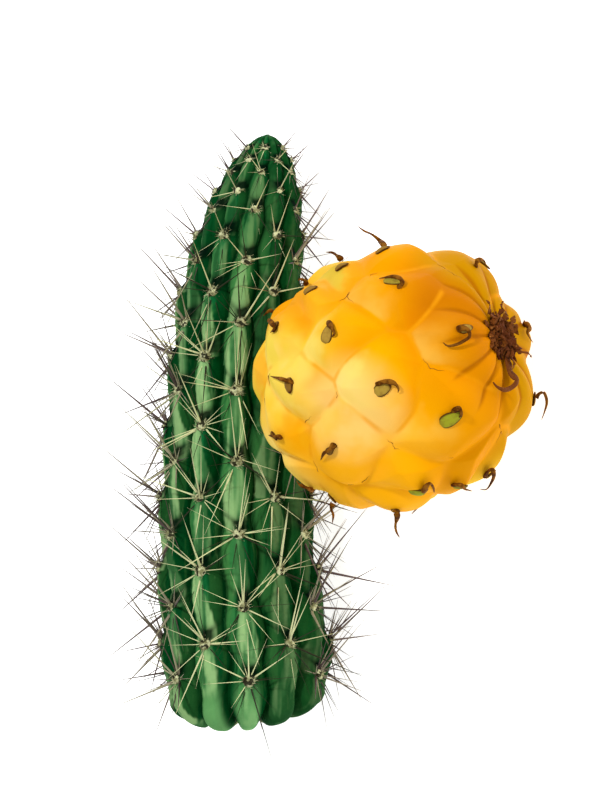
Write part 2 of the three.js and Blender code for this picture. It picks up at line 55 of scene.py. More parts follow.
# %% Driving dimensions, in millimetres and degrees
STEM_LENGTH = 126
STEM_OUTLINE = np.array([
    [0, 16.5], [8, 17.0], [18, 17.7], [30, 16.8], [49, 15.6], [70, 14.0], [91, 12.9],
    [102, 11.4], [112, 9.3], [118.5, 6.9], [122.7, 4.4], [125.2, 2.0], [STEM_LENGTH, 0],
])
STEM_LEAN = np.array([
    [0, 1.4], [14, 1.3], [30, -0.2], [49, -1.1], [70, -1.3], [91, 0.0], [102, 1.4], [112, 3.2],
    [118.5, 4.3], [STEM_LENGTH, 5.6],
])
RIB_COUNT = 12
FIRST_RIB_TURN = 1.6
GROOVE_DEPTH = 3.0
GROOVE_SHARE = 0.19
GROOVE_POWER = 2.6
GROOVE_SWAY = 0.04
BULGE = 0.5
CUT_FACE_RADIUS = 11
CUT_FACE_LOBES = 0.5
CUT_EDGE_ROUNDING = 5
CUT_SLANT = 3.2
CUT_LEAN = 1.2
CUT_LOBE = 2.6
CUT_BLEND = 20
TOP_AREOLE = 3
AREOLE_SPACING = 15.5
AREOLE_SPACING_GROWTH = 17
LOWEST_AREOLE = 6

STEM_X = -22.8
STEM_CUT_Y = -61.2
STEM_HEIGHT = 22.5
ROLL = math.radians(-35.6)

FRUIT_MIDDLE = np.array([31.3, 74.8, 29.6])
FRUIT_AXIS = np.array([0.82, 0.29, 0.49]) / math.hypot(0.82, 0.29, 0.49)
FRUIT_MEAN_RADIUS = 29
FRUIT_HALF_LENGTH = 29.4
FRUIT_HALF_WIDTH = 26.6
FRUIT_BASE_FLATTENING = 2.4
FRUIT_SHOULDER = np.array([-0.55, 0.83, 0.1]) / math.hypot(-0.55, 0.83, 0.1)
SHOULDER_FLATTENING = 1.8
SHOULDER_WIDTH = 0.9
TUBERCLE_HEIGHT = 2.6
TUBERCLE_SHOULDER = 0.55
CREASE_SOFTNESS = 0.06
CREASE_SWAY = 0.045
NAVEL_DEPTH = 2.6
NAVEL_WIDTH = 0.3
FOLD_COUNT = 13
FOLD_HEIGHT = 0.5
SCALE_SEATS = [
    # millimetres to the side and along the stem from the fruit's middle, seen from the face
    [-1.6, 27.3], [-10.9, 24.6], [-17.9, 19.3], [0.7, 19.3], [18.6, 22.3], [-24.4, 10.3],
    [-13.3, 8.7], [14.8, 9.2], [-29.0, -1.3], [-21.1, -2.1], [-1.6, -2.8], [-28.6, -9.2],
    [-23.5, -12.3], [12.0, -8.6], [-12.4, -15.4], [31.0, -5.0], [20.8, -20.3], [14.8, -23.2],
    [6.0, -24.5], [1.3, -28.3], [-12.4, -26.4], [-17.7, -23.4], [28.6, 10.5],
]
SPIRAL_SEATS = 46
SEAT_SPACING = 0.44
GOLDEN_TURN = math.pi * (3 - math.sqrt(5))
print("stem", STEM_LENGTH, "mm long with", RIB_COUNT, "ribs, fruit", 2 * FRUIT_MEAN_RADIUS, "mm across")

# %% [markdown]
# ## Directions
# The stem has directions of its own, because it lies rolled on its long axis: *side* points towards the
# fruit, *along* to the growing tip, and *face* up and outwards, to the reader. Every rule below is
# written in them, and `placed` turns its result into the frame's metres.

# %% Directions and small helpers
SIDE = np.array([math.cos(ROLL), 0, math.sin(ROLL)])
ALONG = np.array([0.0, 1.0, 0.0])
FACE = np.cross(SIDE, ALONG)
TURN = np.stack([SIDE, ALONG, FACE])


def placed(points):
    """Stem directions in millimetres to frame metres."""
    return (np.asarray(points) @ TURN + [STEM_X, STEM_CUT_Y, STEM_HEIGHT]) * MM


def turned(directions):
    """Stem directions to frame directions."""
    return np.asarray(directions) @ TURN


def unit(v):
    """The same directions with length 1."""
    v = np.asarray(v, float)
    return v / np.maximum(np.linalg.norm(v, axis=-1, keepdims=True), 1e-12)


def in_scene(name, data):
    """An object of that name, linked to the scene."""
    made = bpy.data.objects.new(name, data)
    bpy.context.collection.objects.link(made)
    return made


def draw(a, b, c):
    """A repeatable number from 0 to 1 for any three numbers."""
    wave = np.sin(a * 12.9898 + b * 78.233 + c * 37.719) * 43758.5453
    return wave - np.floor(wave)


def smooth(value):
    t = np.clip(value, 0, 1)
    return t * t * (3 - 2 * t)


def through(points, place):
    """A smooth line through [place, value] rows that never swings past them."""
    x, y = points[:, 0], points[:, 1]
    slope = np.diff(y) / np.diff(x)
    tangent = np.concatenate([[slope[0]], np.zeros(len(x) - 2), [slope[-1]]])
    before, after = slope[:-1], slope[1:]
    same = before * after > 0
    tangent[1:-1][same] = 2 * before[same] * after[same] / (before[same] + after[same])
    place = np.asarray(place, float)
    i = np.clip(np.searchsorted(x, place) - 1, 0, len(x) - 2)
    width = x[i + 1] - x[i]
    t = np.clip((place - x[i]) / width, 0, 1)
    start, end = 2 * t**3 - 3 * t**2 + 1, 3 * t**2 - 2 * t**3
    return (start * y[i] + (t**3 - 2 * t**2 + t) * width * tangent[i]
            + end * y[i + 1] + (t**3 - t**2) * width * tangent[i + 1])


print("face direction in the frame:", FACE.round(3))

# %% [markdown]
# ## Camera
# The picture shows the stem upright, but a cut stem lies down, so the camera looks down on it square to
# the stem's face, with the growing tip at the top of the frame. A long lens far away keeps the fruit,
# which is nearer, from growing against the stem.

# %% Camera at the picture's viewing angle
PIXEL = 0.2105
FRAME_HEIGHT = 800 * PIXEL
FRAME_MIDDLE = np.array([12.55, 69.7, 15])
CAMERA_DISTANCE = 2400
SENSOR = 36

camera_data = bpy.data.cameras.new("camera")
camera = in_scene("camera", camera_data)
camera_data.sensor_width = SENSOR
camera_data.lens = SENSOR * CAMERA_DISTANCE / FRAME_HEIGHT
camera_data.clip_end = 100
looks_from = placed(FRAME_MIDDLE + [0, 0, CAMERA_DISTANCE])
camera.matrix_world = Matrix.Translation(looks_from) @ Matrix(TURN.T.tolist()).to_4x4()
bpy.context.scene.camera = camera
looks_down = math.degrees(math.asin(FACE[2]))
print("lens", round(camera_data.lens), "mm, looking down at", round(looks_down, 1), "degrees")

# %% [markdown]
# ## Meshes, pieces and attributes
# Each skin is a grid of points that a rule pushes out, so one helper makes a mesh from points and faces
# and stores named numbers on its points. A material reads those numbers by name: that way a groove is
# dark exactly where the rule made it deep, whatever light falls on it.

# %% Mesh helpers
def make_piece(name, points, faces, slot, material, replaces=(), **numbers):
    """A smooth piece in frame metres that rides on the root body."""
    mesh = bpy.data.meshes.new(name)
    mesh.from_pydata(np.asarray(points).tolist(), [], faces)
    mesh.polygons.foreach_set("use_smooth", np.ones(len(mesh.polygons), bool))
    for key, values in numbers.items():
        store(mesh, key, values)
    mesh.materials.append(material)
    mesh.update()
    declare(in_scene(name, mesh), slot, replaces)


def store(mesh, key, values, kind="FLOAT"):
    """Keeps a named number, or a named vector, on each point of a mesh."""
    layer = mesh.attributes.new(key, kind, "POINT")
    part = "vector" if kind == "FLOAT_VECTOR" else "value"
    layer.data.foreach_set(part, np.asarray(values, np.float32).ravel())


def declare(piece, slot, replaces=()):
    """Sets the piece on the root body, hides the nodes that it stands for and prints its triangle count."""
    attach(piece, "root")
    if replaces:
        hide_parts(*replaces)
    piece.data.calc_loop_triangles()
    print(piece.name, "has", len(piece.data.loop_triangles), "triangles")


def grid_faces(rows, around):
    """Quads between rings of points, closed round."""
    row, k = np.meshgrid(np.arange(rows - 1), np.arange(around), indexing="ij")
    after = (k + 1) % around
    corners = [row * around + k, row * around + after, (row + 1) * around + after, (row + 1) * around + k]
    return np.stack(corners, axis=-1).reshape(-1, 4)


def fan_faces(first, around, middle):
    """Triangles from a ring of points to one middle point."""
    k = np.arange(around)
    return np.stack([first + k, first + (k + 1) % around, np.full(around, middle)], axis=-1)


def closed_faces(rows, around, reverse=False):
    """Faces of rings of points and of a fan at either end, whose middles are the last two points."""
    count = rows * around
    start, end = fan_faces(0, around, count)[:, ::-1], fan_faces(count - around, around, count + 1)
    groups = [grid_faces(rows, around), start, end]
    return [face for group in groups for face in (group[:, ::-1] if reverse else group).tolist()]


def ring_grid(rows, around):
    """The value of each row and the turn of each column, for rings of points."""
    return np.meshgrid(rows, np.arange(around) * 2 * math.pi / around, indexing="ij")


def ripple(directions, count, fineness, seed):
    """A soft unevenness from -1 to 1: a few plane waves in odd directions."""
    total = np.zeros(len(directions))
    for k in range(count):
        way = unit(np.array([draw(seed, k, 1), draw(seed, k, 2), draw(seed, k, 3)]) - 0.5)
        wave = directions @ way * fineness * (0.7 + 0.6 * draw(seed, k, 4))
        total += np.sin(wave + 6.28 * draw(seed, k, 5))
    return total / count


def disc_ripple(share, turn, count, fineness, seed):
    """A ripple over a disc, laid out in the disc's own rings."""
    flat = np.stack([np.cos(turn) * share, np.sin(turn) * share, 0 * share], axis=-1).reshape(-1, 3)
    return ripple(flat, count, fineness, seed).reshape(share.shape)


print("three rings of four points close with", len(closed_faces(3, 4)), "faces")

# %% [markdown]
# ## Finishes
# Each finish is a small node tree. `Finish` keeps the wiring short: it makes a Principled shader and
# offers the few things that every finish here needs: a number stored on the mesh, a soft noise over
# Object coordinates, a ramp from one value to another, a product, a mix of two colours and a bump.

# %% Finish helper
class Finish:
    """A material with one Principled shader, and short names for what feeds it."""

    def __init__(self, name, roughness, **sockets):
        self.material = bpy.data.materials.new(name)
        self.material.use_nodes = True
        self.tree = self.material.node_tree
        self.shader = self.tree.nodes["Principled BSDF"]
        self.shader.inputs["Roughness"].default_value = roughness
        for key, value in sockets.items():
            self.shader.inputs[key.replace("_", " ")].default_value = value
        self.place = self.tree.nodes.new("ShaderNodeTexCoord").outputs["Object"]

    def node(self, kind, inputs, **settings):
        made = self.tree.nodes.new(kind)
        for key, value in settings.items():
            setattr(made, key, value)
        for key, value in inputs.items():
            self.feed(made.inputs[key], value)
        return made

    def feed(self, socket, value):
        if isinstance(value, bpy.types.NodeSocket):
            self.tree.links.new(value, socket)
        else:
            socket.default_value = value

    def number(self, name):
        return self.node("ShaderNodeAttribute", {}, attribute_name=name).outputs["Fac"]

    def noise(self, scale, detail=3, stretch=(1, 1, 1)):
        """Noise with features of about 1 / scale metres."""
        at = self.node("ShaderNodeMapping", {"Vector": self.place, "Scale": stretch}).outputs[0]
        inputs = {"Vector": at, "Scale": scale, "Detail": detail}
        return self.node("ShaderNodeTexNoise", inputs).outputs[0]

    def ramp(self, value, low, high, start=0.0, end=1.0):
        """Takes value from low to high smoothly over to start to end."""
        inputs = {"Value": value, "From Min": low, "From Max": high, "To Min": start, "To Max": end}
        return self.node("ShaderNodeMapRange", inputs, interpolation_type="SMOOTHSTEP").outputs[0]

    def times(self, a, b):
        return self.node("ShaderNodeMath", {0: a, 1: b}, operation="MULTIPLY", use_clamp=True).outputs[0]

    def mix(self, share, a, b):
        """Colour a where share is 0, colour b where it is 1."""
        inputs = {"Factor": share, 6: colour(a), 7: colour(b)}
        return self.node("ShaderNodeMix", inputs, data_type="RGBA").outputs[2]

    def paint(self, value):
        self.feed(self.shader.inputs["Base Color"], colour(value))

    def rough(self, value):
        self.feed(self.shader.inputs["Roughness"], value)

    def bump(self, height, distance, strength=1.0):
        inputs = {"Height": height, "Distance": distance, "Strength": strength}
        previous = self.shader.inputs["Normal"]
        if previous.is_linked:
            inputs["Normal"] = previous.links[0].from_socket
        self.feed(previous, self.node("ShaderNodeBump", inputs).outputs[0])


def colour(value):
    """A colour written as its red, green and blue out of 255, or a socket as it is."""
    if isinstance(value, bpy.types.NodeSocket) or len(value) == 4:
        return value
    linear = [c / 255 / 12.92 if c <= 10 else ((c / 255 + 0.055) / 1.055) ** 2.4 for c in value]
    return (*linear, 1.0)


print("green 106 of 255 is", round(colour((20, 106, 54))[1], 3), "in linear light")

# %% [markdown]
# ## Where the areoles are
# New ribs and areoles are made at the growing tip, and the stem stretches as it ages, so areoles stand
# close together at the tip and about 15 mm apart lower down. Every second rib is half a step out.

# %% Areole places
def areole_places():
    places = []
    back = TOP_AREOLE
    while back < STEM_LENGTH - LOWEST_AREOLE:
        places.append(STEM_LENGTH - back)
        back += AREOLE_SPACING * (1 - math.exp(-(back + 4) / AREOLE_SPACING_GROWTH))
    return np.array(places[::-1])


EVEN_PLACES = areole_places()
ODD_PLACES = (EVEN_PLACES[1:] + EVEN_PLACES[:-1]) / 2
PLACES = [EVEN_PLACES, ODD_PLACES]
STALK_RIB = 1
STALK_PLACE = ODD_PLACES[ODD_PLACES > 60][0]
print("areoles on an even rib:", EVEN_PLACES.round(1))
print("areoles on an odd rib:", ODD_PLACES.round(1))

# %% [markdown]
# ## The stem's shape
# Ribs of this cactus are low and rounded with narrow grooves between them. Each rib swells in a chin
# below an areole and dips in a notch above it, and because neighbours are half a step out, the grooves
# sway from side to side. All of this is one formula for the radius at a place along the stem and a turn
# round it. The cut slants, and each rib is rounded off there like a fingertip, so a second formula lifts
# the places near the cut.

# %% Stem formula
PITCH = 2 * math.pi / RIB_COUNT


def bulge(parity, along):
    """From -1 in the notch over an areole to 1 on the chin under the next one."""
    places = PLACES[parity]
    fences = np.concatenate([[places[0] - AREOLE_SPACING], places, [STEM_LENGTH + TOP_AREOLE]])
    k = np.clip(np.searchsorted(fences, along) - 1, 0, len(fences) - 2)
    share = (along - fences[k]) / (fences[k + 1] - fences[k])
    wrapped = (share + 0.8) % 1
    return np.where(wrapped < 0.55, 2 * smooth(wrapped / 0.55) - 1, 1 - 2 * smooth((wrapped - 0.55) / 0.45))


def rib_share(along, turn):
    """The rib a point is on, how far it lies from its crest (0) to the groove (1), its turn from the
    crest, and its bulge."""
    rib_turn = (turn - math.radians(FIRST_RIB_TURN)) / PITCH
    left = np.floor(rib_turn)
    share = rib_turn - left
    swells = [bulge(0, along), bulge(1, along)]
    left_swell = np.where(left % 2 == 0, swells[0], swells[1])
    right_swell = np.where(left % 2 == 0, swells[1], swells[0])
    groove = 0.5 + GROOVE_SWAY * (left_swell - right_swell)
    on_left = share < groove
    off = np.where(on_left, share / groove, (1 - share) / (1 - groove))
    rib = np.where(on_left, left, left + 1)
    across = np.where(on_left, share, share - 1) * PITCH
    return rib, off, across, np.where(on_left, left_swell, right_swell)


def stem_radius(along, turn):
    """How far the skin lies from the stem's middle line."""
    _, off, _, swell = rib_share(along, turn)
    crest = through(STEM_OUTLINE, along)
    depth = np.minimum(GROOVE_DEPTH, GROOVE_SHARE * crest)
    swell = BULGE * swell * np.minimum(1, crest / 13) ** 2
    whole = crest + swell * (1 - off**2) - depth * off**GROOVE_POWER
    face = CUT_FACE_RADIUS + CUT_FACE_LOBES * (whole - crest)
    from_edge = 1 - np.clip(along / CUT_EDGE_ROUNDING, 0, 1)
    return face + (whole - face) * np.sqrt(1 - from_edge**2)


def cut_rise(along, turn):
    """How far the slanting cut, and the rounded ends of the ribs, lift a place near the cut."""
    off = rib_share(along, turn)[1]
    rise = CUT_SLANT * (1 - np.cos(turn)) + CUT_LEAN * np.sin(turn) + CUT_LOBE * off**3
    return rise * (1 - np.clip(along / CUT_BLEND, 0, 1))


def stem_point(along, turn, radius):
    side = radius * np.sin(turn) + through(STEM_LEAN, along)
    return np.stack([side, along + cut_rise(along, turn), radius * np.cos(turn)], axis=-1)


crest_radius = float(stem_radius(np.array(STEM_LENGTH / 2), math.radians(FIRST_RIB_TURN)))
print("radius over a crest at mid-length:", round(crest_radius, 1), "mm")

# %% [markdown]
# ## Stem finish
# Waxy green skin: blue-green and dark in the grooves with painted shade, fresher on the crests, lighter on
# each rib's left flank with a painted highlight and darker on its right flank with painted shade, and pale
# yellow-green in a strip that runs down from each areole, a painted highlight too. A painted highlight
# pales the rounded rib ends at the cut on the lit side; the skin darkens towards the tip, and painted shade
# darkens the side that turns away from the light and the skin over each woolly pad. All of these are
# numbers stored on the mesh. Fine stretched noise gives the skin its lengthwise grain.

# %% Stem skin finish
def stem_finish():
    f = Finish("stem skin", 0.6, Specular_IOR_Level=0.01)
    bands = f.noise(330, 2, (1, 0.07, 1))
    grain = f.noise(760, 4, (1, 0.2, 1))
    patches = f.noise(95, 3, (1, 0.4, 1))
    flank, groove, height, aside = (f.number(key) for key in ("flank", "groove", "height", "aside"))
    green = f.mix(f.ramp(patches, 0.36, 0.64), (2, 74, 34), (20, 106, 54))
    green = f.mix(f.ramp(bands, 0.5, 0.56, 0, 0.8), green, (70, 130, 66))
    # painted highlight on each rib's left flank, which faces the light
    lit_flank = f.times(f.ramp(flank, 0.0, -0.25, 0, 0.65), f.ramp(bands, 0.36, 0.5, 0.3, 1))
    green = f.mix(lit_flank, green, (62, 124, 64))
    # painted shade on each rib's right flank, away from the light
    green = f.mix(f.ramp(flank, 0.2, 0.42, 0, 0.75), green, (0, 54, 18))
    # painted shade in the grooves between the ribs
    green = f.mix(f.ramp(groove, 0.76, 0.98, 0, 0.8), green, (0, 40, 12))
    green = f.mix(f.ramp(bands, 0.45, 0.4, 0, 0.6), green, (0, 48, 14))
    # painted highlight: the pale strip that runs down from each areole
    pale = f.times(f.ramp(f.number("strip"), 0.0, 0.9), f.ramp(bands, 0.38, 0.52, 0.4, 1))
    pale = f.times(pale, f.ramp(height, 0.6, 0.85, 1, 0.4))
    green = f.mix(pale, green, f.mix(f.ramp(bands, 0.42, 0.6), (80, 134, 78), (146, 186, 122)))
    green = f.mix(f.ramp(grain, 0.6, 0.78, 0, 0.22), green, (120, 162, 100))
    green = f.mix(f.ramp(grain, 0.4, 0.22, 0, 0.4), green, (0, 36, 14))
    # painted highlight on the rounded rib ends at the cut, on the lit side only
    fingertip = f.times(f.ramp(height, 0.1, 0.03, 0, 0.75), f.ramp(groove, 0.8, 0.4))
    fingertip = f.times(fingertip, f.ramp(aside, 0.14, 0.0))
    green = f.mix(fingertip, green, (104, 160, 96))
    green = f.mix(f.ramp(height, 0.74, 0.9, 0, 0.45), green, (0, 60, 24))
    # painted shade on the sides turned away from the light and under the fruit
    green = f.mix(aside, green, (0, 52, 14))
    # painted shade over each woolly pad and in its crease
    green = f.mix(f.number("shade"), green, (0, 14, 6))
    f.paint(green)
    f.rough(f.ramp(grain, 0.3, 0.7, 0.5, 0.66))
    f.bump(bands, 0.0005, 0.35)
    f.bump(grain, 0.0002, 0.5)
    f.bump(f.noise(2200, 3), 0.00008, 0.4)
    return f.material


STEM_FINISH = stem_finish()
print("the stem's finish has", len(STEM_FINISH.node_tree.nodes), "nodes")

# %% [markdown]
# ## Marks of an areole
# Each areole leaves its marks on the skin round it: a mound under the woolly pad, a crease that folds
# over the mound, painted shade between the two and in the crease, and a low raised strip that runs down
# from it, painted pale as a highlight. Each mark is a number from 0 to 1, worked out for a point from how
# far along its rib the areoles are.

# %% Marks on the skin
MOUND_RADIUS = 2.0
CREASE_RISE = 2.0
CREASE_SLOPE = 0.8
CREASE_WIDTH = 0.5
CREASE_REACH = 4.2
PAD_SHADE_RADIUS = 1.7
STRIP_START = 0.9
STRIP_WIDEST = 1.8
STRIP_EDGE = 0.45
STRIP_LENGTH = 9


def by_rib(rib, on_even, on_odd):
    """The first value on even ribs, the second on odd ones."""
    return np.where(rib % 2 == 0, on_even, on_odd)


def nearest_place(parity, along):
    """How far a point lies over the nearest areole of its rib, in millimetres."""
    places = PLACES[parity]
    gaps = along[..., None] - places
    k = np.abs(gaps).argmin(-1)
    return np.take_along_axis(gaps, k[..., None], -1)[..., 0]


def strip_below(parity, along):
    """How far a point lies under the next areole up its rib, in millimetres, and which areole that is."""
    places = np.append(PLACES[parity], STEM_LENGTH + TOP_AREOLE)
    above = np.clip(np.searchsorted(places, along), 0, len(places) - 1)
    return places[above] - along, above


def areole_marks(rib, along, wide, size):
    """The mound, the crease and the painted shade of the nearest areole at a point."""
    over = by_rib(rib, nearest_place(0, along), nearest_place(1, along))
    mound = np.exp(-(wide**2 + over**2) / (MOUND_RADIUS * size) ** 2)
    fold = (over - CREASE_RISE * size - CREASE_SLOPE * np.abs(wide)) / 1.28
    crease = np.exp(-((fold / (CREASE_WIDTH * size)) ** 2))
    crease = crease * smooth((CREASE_REACH * size - np.abs(wide)) / 2)
    above_pad = (over - PAD_SHADE_RADIUS * size) / (PAD_SHADE_RADIUS * size)
    pad_shade = np.exp(-(((wide - 0.5) / PAD_SHADE_RADIUS) ** 2 + above_pad**2))
    return mound, crease, pad_shade


def lit_strip(rib, along, wide, size):
    """The low raised strip at a point, painted pale as a highlight: it sways, widens on its way down and
    fades out.
    """
    (under_even, above_even), (under_odd, above_odd) = strip_below(0, along), strip_below(1, along)
    under = by_rib(rib, under_even, under_odd)
    lot = draw(rib % RIB_COUNT, by_rib(rib, above_even, above_odd), 3)
    sway = 0.5 * np.sin(along * 0.21 + rib * 2.4) + 0.8 * (lot - 0.5)
    half_width = np.minimum(STRIP_START + 0.16 * under, STRIP_WIDEST + 0.9 * lot) * size
    strip = smooth((half_width - np.abs(wide + 0.3 + sway)) / STRIP_EDGE + 0.5) * smooth(under / 1.5)
    return strip * (1 - smooth((under - STRIP_LENGTH - 8 * lot) / 4)) * (0.75 + 0.25 * lot)


middle_marks = areole_marks(np.array(0), EVEN_PLACES[0], 0.0, 1.0)
print("mound, crease and hollow in the middle of a pad:", [round(float(mark), 2) for mark in middle_marks])

# %% [markdown]
# ## Stem skin
# The skin is a grid of 240 points round and 376 rows, which is fine enough to show the areoles' marks
# and the rounded end of every rib at the cut. The rows lie closer together round the cut edge and at the
# tip. The skin turns in at the cut and closes on a flat end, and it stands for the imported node.

# %% Stem skin mesh
STEM_COLUMNS = 240
CUT_ROWS = 26
BODY_ROWS = 310
TIP_ROWS = 40
TIP_REACH = 10
MOUND_HEIGHT = 0.55
CREASE_DEPTH = 0.3
STRIP_HEIGHT = 0.12
RIM_SHARE = 0.94
DISH_DEPTH = 1.8


def stem_rows():
    """Places of the rows along the stem, without the one that is turned in at the cut."""
    base = CUT_EDGE_ROUNDING * (1 - np.cos(np.linspace(0, math.pi / 2, CUT_ROWS)))
    body = np.linspace(CUT_EDGE_ROUNDING, STEM_LENGTH - TIP_REACH, BODY_ROWS)[1:]
    tip = STEM_LENGTH - TIP_REACH * (1 - np.linspace(0, 1, TIP_ROWS + 2)[1:-1]) ** 1.6
    return np.concatenate([base, body, tip])


def wrinkles(along, turn):
    """Fine lines along the stem and finer rings round it, none of them at the cut."""
    lines = 0.06 * np.sin(turn * 96 + 3 * np.sin(along * 0.35))
    rings = 0.05 * np.sin(along * 3.1 + 5 * np.sin(turn * 7))
    return (lines + rings) * smooth(along / CUT_EDGE_ROUNDING)


def away_from_light(along, turn):
    """How much painted shade a point gets on the sides that turn away from the light, most of all low down
    under the fruit.
    """
    low = 1 - smooth((along - 50) / 30)
    either_side = 0.2 * smooth((0.92 - np.cos(turn)) / 0.4)
    return either_side + (0.5 + 0.14 * low) * smooth((np.sin(turn) - 0.1) / 0.35)


def make_stem():
    rows = stem_rows()
    along, turn = ring_grid(rows, STEM_COLUMNS)
    radius = stem_radius(along, turn)
    rib, off, across, _ = rib_share(along, turn)
    size = np.clip(radius / 12, 0.25, 1)
    mound, crease, pad_shade = areole_marks(rib, along, across * radius, size)
    strip = lit_strip(rib, along, across * radius, size)
    relief = MOUND_HEIGHT * mound - CREASE_DEPTH * crease + STRIP_HEIGHT * strip + wrinkles(along, turn)
    skin = stem_point(along, turn, radius + size * relief)
    inside = skin[:1] * [RIM_SHARE, 1, RIM_SHARE] + [(1 - RIM_SHARE) * STEM_LEAN[0, 1], DISH_DEPTH, 0]
    middles = [[STEM_LEAN[0, 1], CUT_SLANT + DISH_DEPTH, 0], [STEM_LEAN[-1, 1], STEM_LENGTH, 0]]
    points = np.vstack([np.concatenate([inside, skin]).reshape(-1, 3), middles])
    # painted shade over each pad and in the crease above it
    shade = np.clip(1.25 * pad_shade + 0.4 * crease, 0, 0.95)
    numbers = {"groove": off, "flank": off * np.sign(across), "strip": strip, "shade": shade,
               "height": along / STEM_LENGTH, "aside": away_from_light(along, turn)}
    numbers = {key: np.concatenate([value[0], value.ravel(), [0, 0]]) for key, value in numbers.items()}
    faces = closed_faces(len(rows) + 1, STEM_COLUMNS)
    make_piece("stem_skin", placed(points), faces, "stem_skin", STEM_FINISH, ["stem"], **numbers)


make_stem()

# %% [markdown]
# ## Spines
# Each areole bears about a dozen spines in a star, fewer near the tip, most of them spread flat and a few
# standing up. They are straight needles, cream on the front, mauve grey on the flanks and here and there
# nearly black, more often where they point down and away from the light, a painted shade, with a darker
# foot and tip. A spine is three numbers and a direction, so the seed is a mesh of bare points that carry
# those, and a Geometry Nodes tree puts a tapered cone on each one. The four that the plain model has are
# the same ones here. First come the two things that a spine gives way to, the fruit and the surface that
# the stem lies on.

# %% What spines give way to
SPINE_CLEARANCE = 1.2
BEND_TRIES = 40
FRUIT_REACH = FRUIT_HALF_LENGTH + TUBERCLE_HEIGHT + SPINE_CLEARANCE
FRUIT_CENTRE = placed(FRUIT_MIDDLE) / MM


def clear_of_fruit(root, way, length):
    """Bends a spine away from the fruit step by step, or gives None where that doesn't clear it."""
    bent = way.copy()
    for _ in range(BEND_TRIES):
        nearest = min(length, max(0.0, float((FRUIT_CENTRE - root) @ bent)))
        closest = root + bent * nearest - FRUIT_CENTRE
        if np.linalg.norm(closest) >= FRUIT_REACH:
            return bent
        bent = unit(bent + 0.08 * unit(closest))
    return None


def over_the_surface(root, way, length):
    """Spines under the stem are splayed until their tips just touch the surface."""
    if root[2] + way[2] * length >= 0:
        return way
    down = -root[2] / length
    flat = unit(np.array([way[0], way[1], 0]))
    return flat * math.sqrt(max(0, 1 - down * down)) + [0, 0, down]


print("spines keep", round(FRUIT_REACH, 1), "mm from the fruit's middle")

# %% [markdown]
# ## The spines of an areole
# Of the first four spines of an areole one points up and the others stand in a star. The fine ones
# between them lie flatter. A draw from 0 to 1, fixed by the areole and the spine, gives each its length,
# tilt, turn, thickness and tone. Spines near the tip are young, so they are short and thin, and those
# that point down and away from the light are more often made nearly black, a painted shade for their
# shadows.

# %% Spines of an areole
SPINES_PER_AREOLE = 4
FINE_SPINES = 11
SPINE_LONGEST = 18
SPINE_SHORTEST = 10
SPINE_SPREAD = 1.0
SPINE_ROOT = 0.8
YOUNG_PLACE = 105
LOW_PLACE = 18
# the way down and away from the light, and the added chances of a nearly black spine there, a painted shade
SHADED_WAY = unit(np.array([0.6, -0.8, 0]))
BLACK_CHANCE = 0.28
SHADE_DARK_CHANCE = 0.45
LOW_SHADE_DARK_CHANCE = 0.75
BLACKENED = 2.0


def spread_of(seed, n):
    """Share of the way from shortest to longest, tilt from the areole's own way and turn round it."""
    lot = draw(seed, n, 1)
    if n == 0:
        return 0.75 + 0.25 * lot, 38 + 22 * draw(seed, n, 2), 50 * (draw(seed, n, 4) - 0.5)
    if n < SPINES_PER_AREOLE:
        spin = 360 * (n + draw(seed, 0, 3)) / (SPINES_PER_AREOLE - 1) + 30 * draw(seed, n, 4)
        return lot, 43 + 25 * draw(seed, n, 2), spin
    spin = 360 * (n + draw(seed, 0, 3) + 1.9 * draw(seed, n, 5)) / FINE_SPINES
    return 0.9 * lot - 0.45, 52 + 30 * draw(seed, n, 2), spin


def thickness_and_tone(seed, n, along, turn, young, way):
    """Thickness as a share of the usual one, and tone from cream (0) over grey (1) to black (2)."""
    flank = float(smooth(1.38 - 1.3 * math.cos(turn)))
    strength = 1.4 if n < SPINES_PER_AREOLE else 0.8
    thickness = (0.9 + 0.3 * draw(seed, n, 6)) * strength * (0.5 + 0.5 * young)
    thickness *= 1 + 0.5 * flank
    # painted shade: spines that point down and away from the light are more often made nearly black
    shade_dark_chance = LOW_SHADE_DARK_CHANCE if along < LOW_PLACE else SHADE_DARK_CHANCE
    if draw(seed, n, 8) < BLACK_CHANCE + shade_dark_chance * max(0.0, float(way @ SHADED_WAY)):
        return thickness, BLACKENED - 0.6 * flank
    return thickness, 0.3 * draw(seed, n, 7) * (1.6 - young) + 0.8 * flank


